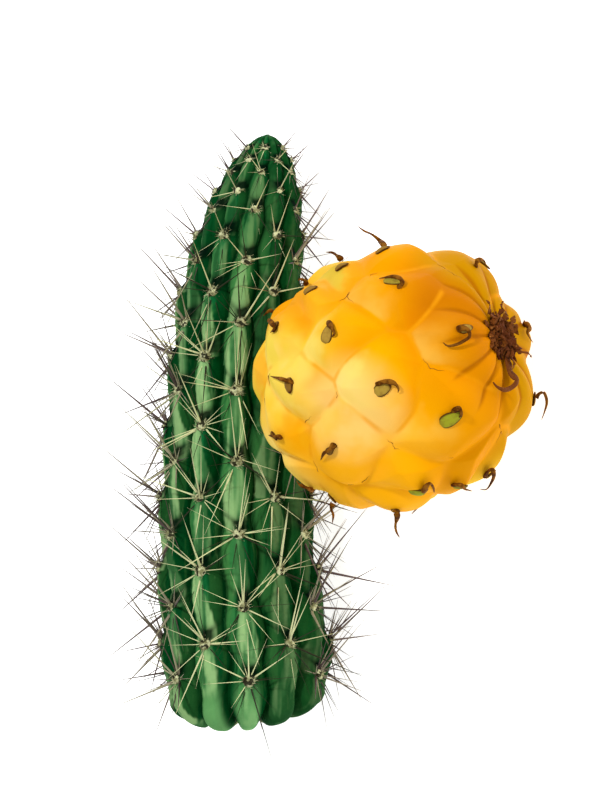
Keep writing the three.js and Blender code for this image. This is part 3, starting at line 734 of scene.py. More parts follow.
def spines_of(rib, k):
    """Root, direction, length, thickness and tone of each spine of an areole, in frame millimetres."""
    along = PLACES[rib % 2][k]
    turn = math.radians(FIRST_RIB_TURN) + rib * PITCH
    middle = placed(stem_point(np.array(along), np.array(turn), stem_radius(np.array(along), turn))) / MM
    out = turned([math.sin(turn), 0, math.cos(turn)])
    across = np.cross(ALONG, out)
    seed = rib * 40 + k
    young = float(smooth((STEM_LENGTH - along) / 45))
    size = 0.42 + 0.58 * young
    fine = FINE_SPINES * (1 - 0.75 * float(smooth((along - 60) / 45)))
    for n in range(SPINES_PER_AREOLE + FINE_SPINES):
        if n == SPINES_PER_AREOLE - 1 and along > YOUNG_PLACE or n >= SPINES_PER_AREOLE + fine:
            continue
        root = middle.copy()
        share, tilt, spin = spread_of(seed, n)
        length = size * (SPINE_SHORTEST + (SPINE_LONGEST - SPINE_SHORTEST) * share)
        spin = math.radians(spin)
        tilt = math.radians(tilt)
        aside = ALONG * math.cos(spin) + across * math.sin(spin)
        way = out * math.cos(tilt) + aside * math.sin(tilt)
        if n > 0:
            root = root + aside * SPINE_SPREAD * young
        bent = clear_of_fruit(root, over_the_surface(root, way, length), length)
        if bent is None:
            continue
        bent = over_the_surface(root, bent, length)
        thickness, tone = thickness_and_tone(seed, n, along, turn, young, bent)
        yield root - bent * SPINE_ROOT, bent, length + SPINE_ROOT, thickness, tone


spines = []
for rib in range(RIB_COUNT):
    for k, place in enumerate(PLACES[rib % 2]):
        if not (rib == STALK_RIB and place == STALK_PLACE):
            spines += list(spines_of(rib, k))
print(len(spines), "spines, the longest", round(max(s[2] for s in spines) - SPINE_ROOT, 1), "mm")

# %% [markdown]
# ## A Geometry Nodes tree that plants needles
# The tree takes bare points and puts a tapered needle on each: the point's own *way* turns it, its
# *reach* stretches it and its *thick* widens it. A share from foot to tip is stored before the needles
# are placed, so that the finish can darken both ends. The last two nodes make real faces and give them
# the finish.

# %% Needle tree
def new_tree(name, sizes):
    """A Geometry Nodes group with a geometry in and out, and one named input for each size."""
    tree = bpy.data.node_groups.new(name, "GeometryNodeTree")
    tree.interface.new_socket("Geometry", in_out="INPUT", socket_type="NodeSocketGeometry")
    for key, kind in sizes.items():
        tree.interface.new_socket(key, in_out="INPUT", socket_type=kind)
    tree.interface.new_socket("Geometry", in_out="OUTPUT", socket_type="NodeSocketGeometry")
    return tree, tree.nodes.new("NodeGroupInput").outputs, tree.nodes.new("NodeGroupOutput").inputs


def add(tree, kind, inputs, **settings):
    made = tree.nodes.new(kind)
    for key, value in settings.items():
        setattr(made, key, value)
    for key, value in inputs.items():
        if isinstance(value, bpy.types.NodeSocket):
            tree.links.new(value, made.inputs[key])
        else:
            made.inputs[key].default_value = value
    return made


def named(tree, name, kind="FLOAT"):
    return add(tree, "GeometryNodeInputNamedAttribute", {"Name": name}, data_type=kind).outputs["Attribute"]


def product(tree, a, b):
    return add(tree, "ShaderNodeMath", {0: a, 1: b}, operation="MULTIPLY").outputs[0]


def stretch(tree, wide, high):
    """A scale that is the same both ways across and another one upwards."""
    return add(tree, "ShaderNodeCombineXYZ", {0: wide, 1: wide, 2: high}).outputs[0]


def upright(tree, way):
    """The rotation that turns a shape's own up into a way."""
    return add(tree, "FunctionNodeAlignRotationToVector", {"Vector": way}, axis="Z").outputs[0]


def needle(tree, sides, rings, bend=0.0):
    """A cone one unit high that stores its share from foot to tip, and may bend over."""
    cone = add(tree, "GeometryNodeMeshCone", {
        "Vertices": sides, "Side Segments": rings, "Radius Top": 0.1, "Radius Bottom": 1.0, "Depth": 1.0})
    position = add(tree, "GeometryNodeInputPosition", {}).outputs[0]
    height = add(tree, "ShaderNodeSeparateXYZ", {0: position}).outputs[2]
    stored = add(tree, "GeometryNodeStoreNamedAttribute", {
        "Geometry": cone.outputs["Mesh"], "Name": "along", "Value": height},
        data_type="FLOAT", domain="POINT")
    if not bend:
        return stored.outputs[0]
    push = product(tree, product(tree, height, height), bend)
    offset = add(tree, "ShaderNodeCombineXYZ", {0: push}).outputs[0]
    bent = add(tree, "GeometryNodeSetPosition", {"Geometry": stored.outputs[0], "Offset": offset})
    return bent.outputs[0]


def plant(tree, points, shape, rotation, scale):
    return add(tree, "GeometryNodeInstanceOnPoints", {
        "Points": points, "Instance": shape, "Rotation": rotation, "Scale": scale}).outputs[0]


def finished(tree, geometry, material, out):
    real = add(tree, "GeometryNodeRealizeInstances", {"Geometry": geometry}).outputs[0]
    painted = add(tree, "GeometryNodeSetMaterial", {"Geometry": real, "Material": material}).outputs[0]
    tree.links.new(painted, out[0])


def needle_tree():
    tree, sizes, out = new_tree("needles", {"Radius": "NodeSocketFloat", "Material": "NodeSocketMaterial"})
    turn = upright(tree, named(tree, "way", "FLOAT_VECTOR"))
    scale = stretch(tree, product(tree, named(tree, "thick"), sizes["Radius"]), named(tree, "reach"))
    finished(tree, plant(tree, sizes["Geometry"], needle(tree, 6, 4), turn, scale), sizes["Material"], out)
    return tree


def grown(name, tree, points, ways, numbers, sizes, slot):
    """Runs a tree on bare points and keeps the result as a plain mesh."""
    mesh = bpy.data.meshes.new(name)
    mesh.from_pydata(np.asarray(points).tolist(), [], [])
    store(mesh, "way", ways, "FLOAT_VECTOR")
    for key, values in numbers.items():
        store(mesh, key, values)
    piece = in_scene(name, mesh)
    modifier = piece.modifiers.new("grow", "NODES")
    modifier.node_group = tree
    identifiers = {s.name: s.identifier for s in tree.interface.items_tree if s.in_out == "INPUT"}
    for key, value in sizes.items():
        modifier[identifiers[key]] = value
    depsgraph = bpy.context.evaluated_depsgraph_get()
    plain = bpy.data.meshes.new_from_object(piece.evaluated_get(depsgraph))
    piece.modifiers.remove(modifier)
    piece.data = plain
    plain.name = name
    declare(piece, slot)


NEEDLES = needle_tree()
print("the needle tree has", len(NEEDLES.nodes), "nodes")

# %% [markdown]
# ## Spine finish and spines
# The finish goes from cream over mauve grey to nearly black with the spine's own *tone*, and is darker
# at its foot and its tip. Then the tree is run once on all the roots.

# %% Spine finish and spines
SPINE_RADIUS = 0.145


def spine_finish():
    f = Finish("spine", 0.5, Specular_IOR_Level=0.1)
    along = f.number("along")
    tan = f.mix(f.number("tone"), (226, 230, 172), (104, 84, 84))
    tan = f.mix(f.ramp(along, 0.16, 0.02, 0, 0.9), tan, (48, 26, 20))
    tan = f.mix(f.ramp(along, 0.7, 1.0, 0, 0.5), tan, (128, 110, 92))
    f.paint(f.mix(f.ramp(f.number("tone"), 1.2, 1.8, 0, 0.95), tan, (34, 40, 20)))
    f.bump(f.noise(2500, 2), 0.00005, 0.4)
    return f.material


roots, ways, reaches, thicks, tones = (np.array(column) for column in zip(*spines))
grown("spines", NEEDLES, roots * MM, ways, {"reach": reaches * MM, "thick": thicks, "tone": tones},
      {"Radius": SPINE_RADIUS * MM, "Material": spine_finish()}, "spine")

# %% [markdown]
# ## Areole wool
# Under each star of spines is a pad of short felt-like wool, grey-white to cream. A second tree makes
# it: it sets a low dome on each areole, scatters points over the domes with a fixed seed and plants a
# short bent hair on each point.

# %% Wool tree
PAD_FLATNESS = 0.6
HAIR_THINNESS = 0.09
HAIR_BEND = 4.0
HAIR_LEAN = 0.9


def pad_domes(tree, sizes):
    """A low dome on each areole, as real faces."""
    ball = add(tree, "GeometryNodeMeshIcoSphere", {"Radius": 1.0, "Subdivisions": 2}).outputs["Mesh"]
    wide = product(tree, named(tree, "thick"), sizes["Pad"])
    scale = stretch(tree, wide, product(tree, wide, PAD_FLATNESS))
    planted = plant(tree, sizes["Geometry"], ball, upright(tree, named(tree, "way", "FLOAT_VECTOR")), scale)
    return add(tree, "GeometryNodeRealizeInstances", {"Geometry": planted}).outputs[0]


def pad_hairs(tree, sizes, domes):
    """Bent hairs scattered over the domes, each leaning its own way."""
    scatter = add(tree, "GeometryNodeDistributePointsOnFaces", {
        "Mesh": domes, "Density": sizes["Hairs per square metre"], "Seed": sizes["Seed"]})
    limits = {"Min": (-HAIR_LEAN,) * 3, "Max": (HAIR_LEAN,) * 3, "Seed": sizes["Seed"]}
    lot = add(tree, "FunctionNodeRandomValue", limits, data_type="FLOAT_VECTOR").outputs[0]
    off_normal = {0: scatter.outputs["Normal"], 1: lot}
    lean = add(tree, "ShaderNodeVectorMath", off_normal, operation="ADD").outputs[0]
    scale = stretch(tree, product(tree, sizes["Hair length"], HAIR_THINNESS), sizes["Hair length"])
    return plant(tree, scatter.outputs["Points"], needle(tree, 3, 3, HAIR_BEND), upright(tree, lean), scale)


def wool_tree():
    tree, sizes, out = new_tree("wool", {
        "Pad": "NodeSocketFloat", "Hair length": "NodeSocketFloat",
        "Hairs per square metre": "NodeSocketFloat",
        "Seed": "NodeSocketInt", "Material": "NodeSocketMaterial"})
    domes = pad_domes(tree, sizes)
    hairs = pad_hairs(tree, sizes, domes)
    both = add(tree, "GeometryNodeJoinGeometry", {})
    tree.links.new(domes, both.inputs[0])
    tree.links.new(hairs, both.inputs[0])
    finished(tree, both.outputs[0], sizes["Material"], out)
    return tree


WOOL_TREE = wool_tree()
print("the wool tree has", len(WOOL_TREE.nodes), "nodes")

# %% [markdown]
# ## Planting the wool
# The felt is mottled, with dark gaps between the tufts. Each areole gives the tree one point: its place,
# the way it faces and the size of its pad, which is smaller near the tip.

# %% Wool on every areole
WOOL_SEED = 7
PAD_RADIUS = 1.25
HAIR_LENGTH = 1.0
HAIRS_PER_SQUARE_METRE = 3.6e6


def wool_finish():
    f = Finish("areole wool", 0.9, Specular_IOR_Level=0.1)
    wool = f.mix(f.ramp(f.noise(900, 2), 0.4, 0.62), (202, 204, 160), (132, 132, 92))
    f.paint(f.mix(f.ramp(f.noise(1000, 1), 0.5, 0.56, 0, 0.95), wool, (26, 26, 12)))
    return f.material


pad_points, pad_ways, pad_sizes = [], [], []
for rib in range(RIB_COUNT):
    turn = math.radians(FIRST_RIB_TURN) + rib * PITCH
    for along in PLACES[rib % 2]:
        size = 0.5 + 0.5 * float(smooth((STEM_LENGTH - along) / 30))
        radius = stem_radius(np.array(along), turn) + 0.3 * size
        pad_points.append(placed(stem_point(np.array(along), np.array(turn), radius)))
        pad_ways.append(turned([math.sin(turn), 0.15, math.cos(turn)]))
        pad_sizes.append(size * (0.85 + 0.3 * draw(rib, along, 9)))
grown("areole_wool", WOOL_TREE, pad_points, pad_ways, {"thick": pad_sizes},
      {"Pad": PAD_RADIUS * MM, "Hair length": HAIR_LENGTH * MM, "Seed": WOOL_SEED,
       "Hairs per square metre": HAIRS_PER_SQUARE_METRE, "Material": wool_finish()}, "areole_wool")
print(len(pad_points), "areoles")

# %% [markdown]
# ## The fruit's shape
# The berry is built of swellings, one under each scale, and the creases between them lie half way from
# one scale to the next. So the rule asks, for each direction, which two scales are nearest: where both
# are equally near there is a crease. Near the dried flower the swellings run together in folds.

# %% Fruit formula
FRUIT_EAST = unit(np.cross(ALONG, FRUIT_AXIS))
FRUIT_NORTH = np.cross(FRUIT_AXIS, FRUIT_EAST)


def scale_seats():
    seats = []
    for side, along in SCALE_SEATS:
        out = math.sqrt(max(0, FRUIT_MEAN_RADIUS**2 - side * side - along * along))
        seats.append(unit([side, along, out]))
    for k in range(SPIRAL_SEATS):
        down = 1 - 2 * (k + 0.5) / SPIRAL_SEATS
        ring = math.sqrt(1 - down * down)
        east, north = math.cos(k * GOLDEN_TURN), math.sin(k * GOLDEN_TURN)
        seat = FRUIT_EAST * ring * east + FRUIT_NORTH * ring * north + FRUIT_AXIS * down
        room = min(math.acos(min(1, float(seat @ other))) for other in seats)
        from_tip = math.acos(down)
        if seat[2] < 0.15 and room > SEAT_SPACING and min(from_tip, math.pi - from_tip) > SEAT_SPACING:
            seats.append(seat)
    return np.array(seats)


SEATS = scale_seats()
print(len(SEATS), "scales on the fruit")


def seat_angles(directions):
    """Angles from each direction to every scale, bent a little so that the creases between them sway."""
    bent = unit(directions + CREASE_SWAY * np.sin(9 * directions[:, [1, 2, 0]] + [1, 2, 4]))
    return np.arccos(np.clip(bent @ SEATS.T, -1, 1))


def nearest_gap(directions):
    """How much farther the second nearest scale is than the nearest: 0 in a crease."""
    near = np.partition(seat_angles(directions), 1, axis=1)
    return near[:, 1] - near[:, 0]


def fruit_radius(directions):
    from_tip = np.arccos(np.clip(directions @ FRUIT_AXIS, -1, 1))
    from_base = math.pi - from_tip
    radius = FRUIT_HALF_WIDTH + (FRUIT_HALF_LENGTH - FRUIT_HALF_WIDTH) * np.cos(from_tip) ** 2
    radius -= FRUIT_BASE_FLATTENING * np.exp(-((from_base / 0.5) ** 2))
    from_shoulder = np.arccos(np.clip(directions @ FRUIT_SHOULDER, -1, 1))
    radius -= SHOULDER_FLATTENING * np.exp(-((from_shoulder / SHOULDER_WIDTH) ** 2))
    radius -= NAVEL_DEPTH * np.exp(-((from_tip / NAVEL_WIDTH) ** 2))
    shoulder = np.hypot(nearest_gap(directions), CREASE_SOFTNESS) - CREASE_SOFTNESS
    shoulder = np.clip(shoulder / TUBERCLE_SHOULDER, 0, 1)
    fullness = (0.5 + 0.5 * smooth(from_base / 1.2)) * (0.45 + 0.55 * smooth(from_tip / 0.9))
    radius += TUBERCLE_HEIGHT * fullness * (1 - (1 - shoulder) ** 2.3)
    around = np.arctan2(directions @ FRUIT_NORTH, directions @ FRUIT_EAST)
    folded = smooth((0.9 - from_tip) / 0.5) * smooth(from_tip / 0.2)
    return radius + FOLD_HEIGHT * folded * (np.abs(np.cos(FOLD_COUNT * around / 2)) - 0.5)


def fruit_point(directions, lift=0.0):
    """Points on the fruit's skin in frame millimetres, no lower than the surface it lies on."""
    radius = fruit_radius(directions) + lift
    points = placed(FRUIT_MIDDLE + directions * radius[:, None]) / MM
    points[:, 2] = np.maximum(points[:, 2], 0)
    return points


# %% [markdown]
# ## Fruit finish
# Ripe skin is waxy and never one yellow. Each swelling is pale where it comes out from under the last one
# and ripens to orange towards the dried flower, the whole fruit ripens the same way and on its upper
# side, a few swellings keep some green, and a painted highlight leaves a pale patch on the front. The
# shoulder at the upper left is orange, the skin pales towards the stem, the right side is duller with
# painted shade, its edge duller above and lemon low down, and painted shade darkens the creases and folds.
# So every point stores how far *ahead* of its scale it lies and how ripe its swelling is, blended over a
# millimetre where two swellings meet, and how far it faces to the side, to the top and to the highlight.

# %% Fruit skin finish
def ripening(f, skin, from_tip, upper, side, bloom):
    """The yellows of the fruit's own sides: upper and lower, hind end and shoulder, and the painted shade
    of the far side.
    """
    above = f.times(f.ramp(upper, 0.2, 0.8, 0, 0.85), f.ramp(from_tip, 0.64, 0.44, 0.15, 1))
    skin = f.mix(above, skin, (226, 146, 0))
    lower = f.times(f.ramp(upper, -0.2, -0.55, 0, 0.92), f.ramp(from_tip, 0.82, 0.6, 0.2, 1))
    skin = f.mix(lower, skin, f.mix(f.ramp(side, 0.1, 0.5), (246, 170, 2), (226, 148, 0)))
    hind = f.times(f.ramp(from_tip, 0.68, 0.82, 0, 0.8), f.ramp(upper, -0.25, -0.5))
    skin = f.mix(f.times(hind, f.ramp(bloom, 0.0, 0.3)), skin, (255, 222, 118))
    shoulder = f.times(f.ramp(upper, 0.25, 0.5, 0, 0.85), f.ramp(side, -0.55, -0.75))
    skin = f.mix(shoulder, skin, (232, 150, 0))
    # painted shade: the right side, away from the light, is duller
    return f.mix(f.ramp(side, 0.35, 0.95, 0, 0.85), skin, (204, 130, 0))


def fruit_finish():
    f = Finish("fruit skin", 0.5, Specular_IOR_Level=0.01)
    cloud = f.noise(105, 3)
    from_tip, ripe = f.number("from_tip"), f.number("ripe")
    upper, side, toward_bloom = f.number("upper"), f.number("side"), f.number("bloom")
    uneven = {0: f.number("ahead"), 1: f.ramp(cloud, 0.25, 0.75, -0.45, 0.45)}
    ahead = f.node("ShaderNodeMath", uneven, operation="ADD").outputs[0]
    skin = f.mix(f.ramp(from_tip, 0.66, 0.36), (236, 190, 54), (238, 164, 0))
    skin = f.mix(f.ramp(from_tip, 0.36, 0.22, 0, 0.9), skin, (222, 142, 0))
    skin = f.mix(f.ramp(from_tip, 0.22, 0.08), skin, (190, 108, 0))
    pale = f.times(f.ramp(ahead, 0.1, -0.9), f.ramp(from_tip, 0.15, 0.45, 0.15, 0.9))
    skin = f.mix(pale, skin, (244, 212, 104))
    orange = f.times(f.ramp(ahead, 0.0, 1.1), f.ramp(ripe, 0.1, 0.8, 0.2, 0.85))
    skin = f.mix(orange, skin, (230, 134, 0))
    peach = f.times(f.ramp(f.noise(60, 2), 0.46, 0.62, 0, 0.8), f.ramp(from_tip, 0.36, 0.52))
    skin = f.mix(peach, skin, (246, 206, 96))
    lemon = f.times(f.ramp(from_tip, 0.5, 0.7, 0, 0.7), f.ramp(f.noise(85, 2), 0.5, 0.6))
    skin = f.mix(lemon, skin, (228, 200, 52))
    skin = ripening(f, skin, from_tip, upper, side, toward_bloom)
    # painted highlight: a pale patch on the front of the fruit
    bloom = f.times(f.ramp(toward_bloom, 0.87, 0.99, 0, 0.65), f.ramp(cloud, 0.35, 0.6, 0.45, 1))
    skin = f.mix(bloom, skin, (248, 210, 124))
    above = f.times(f.ramp(upper, 0.1, 0.6), f.ramp(from_tip, 0.36, 0.2, 0, 0.9))
    skin = f.mix(above, skin, (186, 106, 0))
    edge = f.times(f.ramp(toward_bloom, 0.34, 0.06, 0, 0.6), f.ramp(side, 0.0, 0.4))
    skin = f.mix(edge, skin, f.mix(f.ramp(upper, -0.5, -0.8), (186, 140, 0), (255, 214, 50)))
    green = f.times(f.ramp(ripe, 0.2, 0.08, 0, 0.6), f.ramp(ahead, 0.5, -0.2))
    skin = f.mix(f.times(green, f.ramp(from_tip, 0.22, 0.4)), skin, (204, 194, 66))
    # painted shade in the fold grooves near the dried flower
    skin = f.mix(f.ramp(f.number("fold"), 0.5, 0.9, 0, 0.8), skin, (166, 94, 0))
    # painted shade: a darker orange in the creases between swellings
    crease = f.times(f.ramp(f.number("gap"), 0.05, 0.0), f.ramp(cloud, 0.42, 0.6, 0, 0.7))
    skin = f.mix(crease, skin, (226, 148, 14))
    f.paint(skin)
    f.rough(f.ramp(cloud, 0.3, 0.7, 0.4, 0.54))
    f.bump(f.noise(420, 3), 0.0002, 0.3)
    f.bump(f.noise(2600, 2), 0.00006, 0.3)
    return f.material


FRUIT_FINISH = fruit_finish()
print("the fruit's finish has", len(FRUIT_FINISH.node_tree.nodes), "nodes")

# %% [markdown]
# ## Fruit skin
# A ball made from a cube has no poles to pinch, so the skin starts as the six faces of a cube, each cut
# 126 by 126, blown up to a ball and pushed out by the rule. A soft ripple keeps it from looking turned.

# %% Fruit skin mesh
CUBE_CUTS = 126
SEAT_BLEND = 0.022
SEAT_REACH = 0.3
# the way that the painted highlight on the fruit's front faces
HIGHLIGHT_WAY = unit(np.array([-0.3, -0.27, 0.92]))


def cube_ball(cuts):
    """Directions and quads of a ball made from a cube, its shared edges merged."""
    steps = np.tan(np.linspace(-math.pi / 4, math.pi / 4, cuts + 1))
    a, b = np.meshgrid(steps, steps, indexing="ij")
    one = np.ones_like(a)
    sides = [(one, a, b), (-one, b, a), (b, one, a), (a, -one, b), (a, b, one), (b, a, -one)]
    points = np.concatenate([np.stack(side, axis=-1).reshape(-1, 3) for side in sides])
    row, column = np.meshgrid(np.arange(cuts), np.arange(cuts), indexing="ij")
    corner = (row * (cuts + 1) + column).ravel()
    quad = np.stack([corner, corner + cuts + 1, corner + cuts + 2, corner + 1], axis=-1)
    quads = np.concatenate([quad + side * (cuts + 1) ** 2 for side in range(6)])
    merged, back = np.unique(points.round(6), axis=0, return_inverse=True)
    return unit(merged), back.reshape(-1)[quads]


def by_seat(directions):
    """How far each point lies ahead of its scale, and how ripe its swelling is, blended at the creases."""
    angles = seat_angles(directions)
    weight = np.exp((angles.min(axis=1, keepdims=True) - angles) / SEAT_BLEND)
    weight /= weight.sum(axis=1, keepdims=True)
    to_tip = unit(FRUIT_AXIS - (SEATS @ FRUIT_AXIS)[:, None] * SEATS)
    ripeness = np.array([draw(k, 7, 7) for k in range(len(SEATS))])
    return (weight * (directions @ to_tip.T)).sum(axis=1) / SEAT_REACH, weight @ ripeness


def make_fruit():
    directions, quads = cube_ball(CUBE_CUTS)
    from_tip = np.arccos(np.clip(directions @ FRUIT_AXIS, -1, 1)) / math.pi
    around = np.arctan2(directions @ FRUIT_NORTH, directions @ FRUIT_EAST)
    wander = 0.25 * ripple(directions, 5, 6, 9)
    fold = (1 - np.abs(np.cos(FOLD_COUNT * around / 2 + wander))) * smooth((0.3 - from_tip) / 0.16)
    lift = 0.25 * ripple(directions, 7, 9, 3) + 0.05 * ripple(directions, 9, 38, 5) - 0.3 * fold
    points = fruit_point(directions, lift * smooth(from_tip / 0.1))
    quads = quads[:, ::-1] if ball_is_inside_out(points, quads) else quads
    ahead, ripe = by_seat(directions)
    make_piece("fruit_skin", points * MM, quads.tolist(), "fruit_skin", FRUIT_FINISH, ["fruit"],
               gap=nearest_gap(directions), from_tip=from_tip, ahead=ahead, ripe=ripe, fold=fold,
               upper=directions[:, 1], side=directions[:, 0], bloom=directions @ HIGHLIGHT_WAY)


def ball_is_inside_out(points, quads):
    a, b, c = (points[quads[:, k]] for k in range(3))
    return float(np.einsum("ij,ij->", np.cross(b - a, c - a), a - points.mean(axis=0))) < 0


make_fruit()

# %% [markdown]
# ## Bent horns
# Scales, the stalk and the strips of the dried flower are all one shape: a bar that follows a bent line
# with an oval section which changes along it. One function makes it, for as many as are wanted in one
# mesh, and stores the share from root to tip.

# %% Horn helper
def horn(line, wide, thick, flat_way, sides=8):
    """Points and faces of a closed oval bar along a line; flat_way is the direction its thin side faces."""
    line = np.asarray(line, float)
    flat_way = np.broadcast_to(flat_way, line.shape)
    step = unit(np.gradient(line, axis=0))
    facing = unit(flat_way - np.einsum("ij,ij->i", step, flat_way)[:, None] * step)
    across = np.cross(step, facing)
    angle = np.arange(sides) * 2 * math.pi / sides
    ring = (np.cos(angle)[None, :, None] * across[:, None, :] * np.asarray(wide)[:, None, None]
            + np.sin(angle)[None, :, None] * facing[:, None, :] * np.asarray(thick)[:, None, None])
    points = (line[:, None, :] + ring).reshape(-1, 3)
    rows = len(line)
    points = np.vstack([points, line[:1], line[-1:]])
    share = np.append(np.repeat(np.linspace(0, 1, rows), sides), [0, 1])
    rim = np.append(np.tile(np.abs(np.cos(angle)), rows), [1, 1])
    return points, closed_faces(rows, sides, reverse=True), share, rim


sample = horn([[0, 0, 0], [0, 1, 0], [0, 2, 1]], [1, 1, 0.5], [1, 1, 0.5], [0, 0, 1])
print("a horn with three rings has", len(sample[0]), "points and", len(sample[1]), "faces")

# %% [markdown]
# ## Many horns in one mesh
# There are hundreds of horns, so those of one kind are collected into one mesh. Each keeps a *tone* of
# its own beside its share from root to tip and its *rim*, and nothing sinks below the surface.

# %% Bunch of horns
class Bunch:
    """Collects many horns in one mesh."""

    def __init__(self):
        self.points, self.faces = [], []
        self.numbers = {"along": [], "rim": [], "tone": []}
        self.count = 0

    def put(self, points, faces, along, rim, tone):
        self.points.append(points)
        self.faces += [[v + self.count for v in face] for face in faces]
        self.numbers["along"].append(along)
        self.numbers["rim"].append(rim)
        self.numbers["tone"].append(np.full(len(points), tone))
        self.count += len(points)

    def make(self, name, slot, material, replaces=()):
        points = np.concatenate(self.points)
        points[:, 2] = np.maximum(points[:, 2], 0)
        numbers = {key: np.concatenate(values) for key, values in self.numbers.items()}
        make_piece(name, points * MM, self.faces, slot, material, replaces, **numbers)


print("a bunch keeps", ", ".join(Bunch().numbers), "for each point")


# %% [markdown]
# ## Fruit scales
# Each scale is a small fleshy tongue that lies on its swelling. Its end has dried to a brown hook that
# rises, bends over the tongue and runs out in a point. No two are alike. The ones on the front have
# their tongue and the route of their hook given one by one, from the seat of the scale, as seen from the
# face, and a seeded rule makes those on the back.

# %% Scale dimensions
TONGUES = [
    # half length, half width, turn in degrees from side towards along, tone from green (0) to brown (1)
    [1.4, 0.9, 30, 0.9], [1.5, 0.9, 30, 0.9], [1.5, 1.1, 40, 0.9], [1.9, 1.1, -20, 0.45],
    [1.6, 1.0, -10, 0.5], [1.2, 0.8, -60, 1.0], [1.75, 1.2, 80, 0.8], [1.5, 0.9, 20, 0.7],
    [1.3, 0.7, -70, 1.0], [1.5, 1.1, -60, 0.95], [1.6, 1.25, 25, 0.6], [0.9, 0.6, -30, 1.0],
    [1.1, 0.6, 0, 1.0], [2.1, 1.5, 25, 0.15], [1.1, 0.75, 50, 1.0], [1.3, 0.9, 60, 0.9],
    [1.2, 0.9, 30, 0.8], [1.3, 0.7, -20, 0.3], [1.8, 1.2, 25, 0.0], [1.0, 0.8, -80, 0.8],
    [1.1, 0.9, 60, 0.8], [1.1, 0.8, 10, 0.9], [1.0, 0.7, 30, 0.8],
]
HOOKS = [
    # millimetres to the side and along from each scale's seat
    [[0.7, -0.6], [-0.35, 0.8], [-2.1, 2.2], [-3.65, 2.9], [-5.05, 3.9]],
    [[0.85, -0.4], [0, 0.4], [-1.1, 1.1], [-2.4, 1.2]],
    [[0.5, -0.35], [0.15, 0.55], [-0.7, 0.85], [-1.25, 0.55]],
    [[1.05, -1.0], [1.75, -0.15], [1.2, 0.85], [-0.35, 1.25], [-1.9, 1.0], [-3.0, 0.85]],
    [[-0.7, 0.5], [-0.4, 1.55], [0.4, 1.95], [1.25, 1.45], [1.4, 0.75]],
    [[-0.8, 1.25], [-0.1, 0.4], [0.2, -0.5], [-0.5, -1.4]],
    [[0.45, 2.3], [1.0, 1.35], [1.65, 0.05], [1.15, -0.75]],
    [[-0.85, 0.3], [0.05, 0.65], [1.25, 0.15], [1.55, -1.1], [0.55, -1.95], [-1.1, -2.8], [-2.95, -3.1],
     [-4, -2.4]],
    [[-0.3, 1.65], [0.15, 0.25], [0.7, -1.5]],
    [[0.55, 0.7], [-0.5, 1.05], [-2.1, 1.5], [-3.8, 1.95]],
    [[-1.25, 0.9], [0, 1.45], [1.55, 1.45], [2.65, 0.9], [3.2, -0.05], [3.1, -0.75]],
    [[-0.7, 0.1], [0.2, -0.3], [0.5, -0.6]],
    [[0.7, -0.55], [-0.4, -0.4], [-1.8, -0.15]],
    [[1.1, 1.25], [2.2, 1.8], [2.65, 0.65], [2.2, -0.15]],
    [[0.65, 0.9], [-0.3, -0.1], [-1.4, -0.75], [-2.05, -2.2]],
    [[-0.4, 0.3], [0.3, 1.25], [1.3, 1.35], [1.85, -0.5], [1.35, -2.6], [0.75, -4.2]],
    [[-0.8, -0.75], [-0.3, 0.3], [0.6, 0.65], [0.95, -0.75], [0.2, -2.5], [-0.65, -3.5], [-1.9, -3.45]],
    [[-1.7, 0.4], [-0.15, 0.4], [0.85, -0.45], [2.4, -0.95]],
    [[0.8, -0.05], [1.4, 1.35], [2.2, 2.05], [2.9, 1.35], [3.25, 0.15]],
    [[-0.1, 0.2], [0.25, -1.2], [-0.1, -2.95], [0.1, -4.35], [0.75, -5.55]],
    [[0.6, -0.3], [0.15, -1.35], [0.6, -2.75], [0.4, -4.5]],
    [[1.5, -0.6], [0.3, 0.0], [-1.0, 0.5], [-1.8, 1.4]],
    [[-0.4, 0.2], [0.3, 0.35], [0.65, -0.7], [0.1, -1.4], [0.5, -2.4], [1.35, -3.6]],
]
TONGUE_GROWTH = 1.18
HOOK_LENGTH = [4.0, 7.0]
HOOK_CURL = [70, 215]
HOOK_RADIUS = 0.58
HOOK_STEPS = 22
LEAST_HEIGHT = 2.5
STALK_ANGLE = 2.55
print(len(TONGUES), "tongues and", len(HOOKS), "hooks are chosen by hand")

# %% [markdown]
# ## Rules for a scale
# A hook's route is a smooth line through its few points. As those are seen from the face, each place on
# it is moved outwards until it lies over the skin. A tongue follows the skin the way its scale points.

# %% Scale rules
def between(limits, share):
    """A value that far from the lower limit to the upper one."""
    return limits[0] + (limits[1] - limits[0]) * share


def along_points(points, count):
    """Evenly counted places on a smooth line through a few points."""
    points = np.array(points, float)
    ends = np.vstack([2 * points[0] - points[1], points, 2 * points[-1] - points[-2]])
    place = np.linspace(0, len(points) - 1, count)
    k = np.minimum(place.astype(int), len(points) - 2)
    t = (place - k)[:, None]
    a, b, c, d = (ends[k + n] for n in range(4))
    return b + 0.5 * t * (c - a + t * (2 * a - 5 * b + 4 * c - d + t * (3 * (b - c) + d - a)))


def over_the_skin(flat, lift):
    """Places seen from the face at given side and along from the fruit's middle, lifted off its skin."""
    out = np.full(len(flat), 6.0)
    for _ in range(8):
        reach = fruit_radius(unit(np.column_stack([flat, out]))) + lift
        out = 0.5 * out + 0.5 * np.sqrt(np.maximum(4, reach**2 - (flat**2).sum(axis=1)))
    return np.column_stack([flat, out])


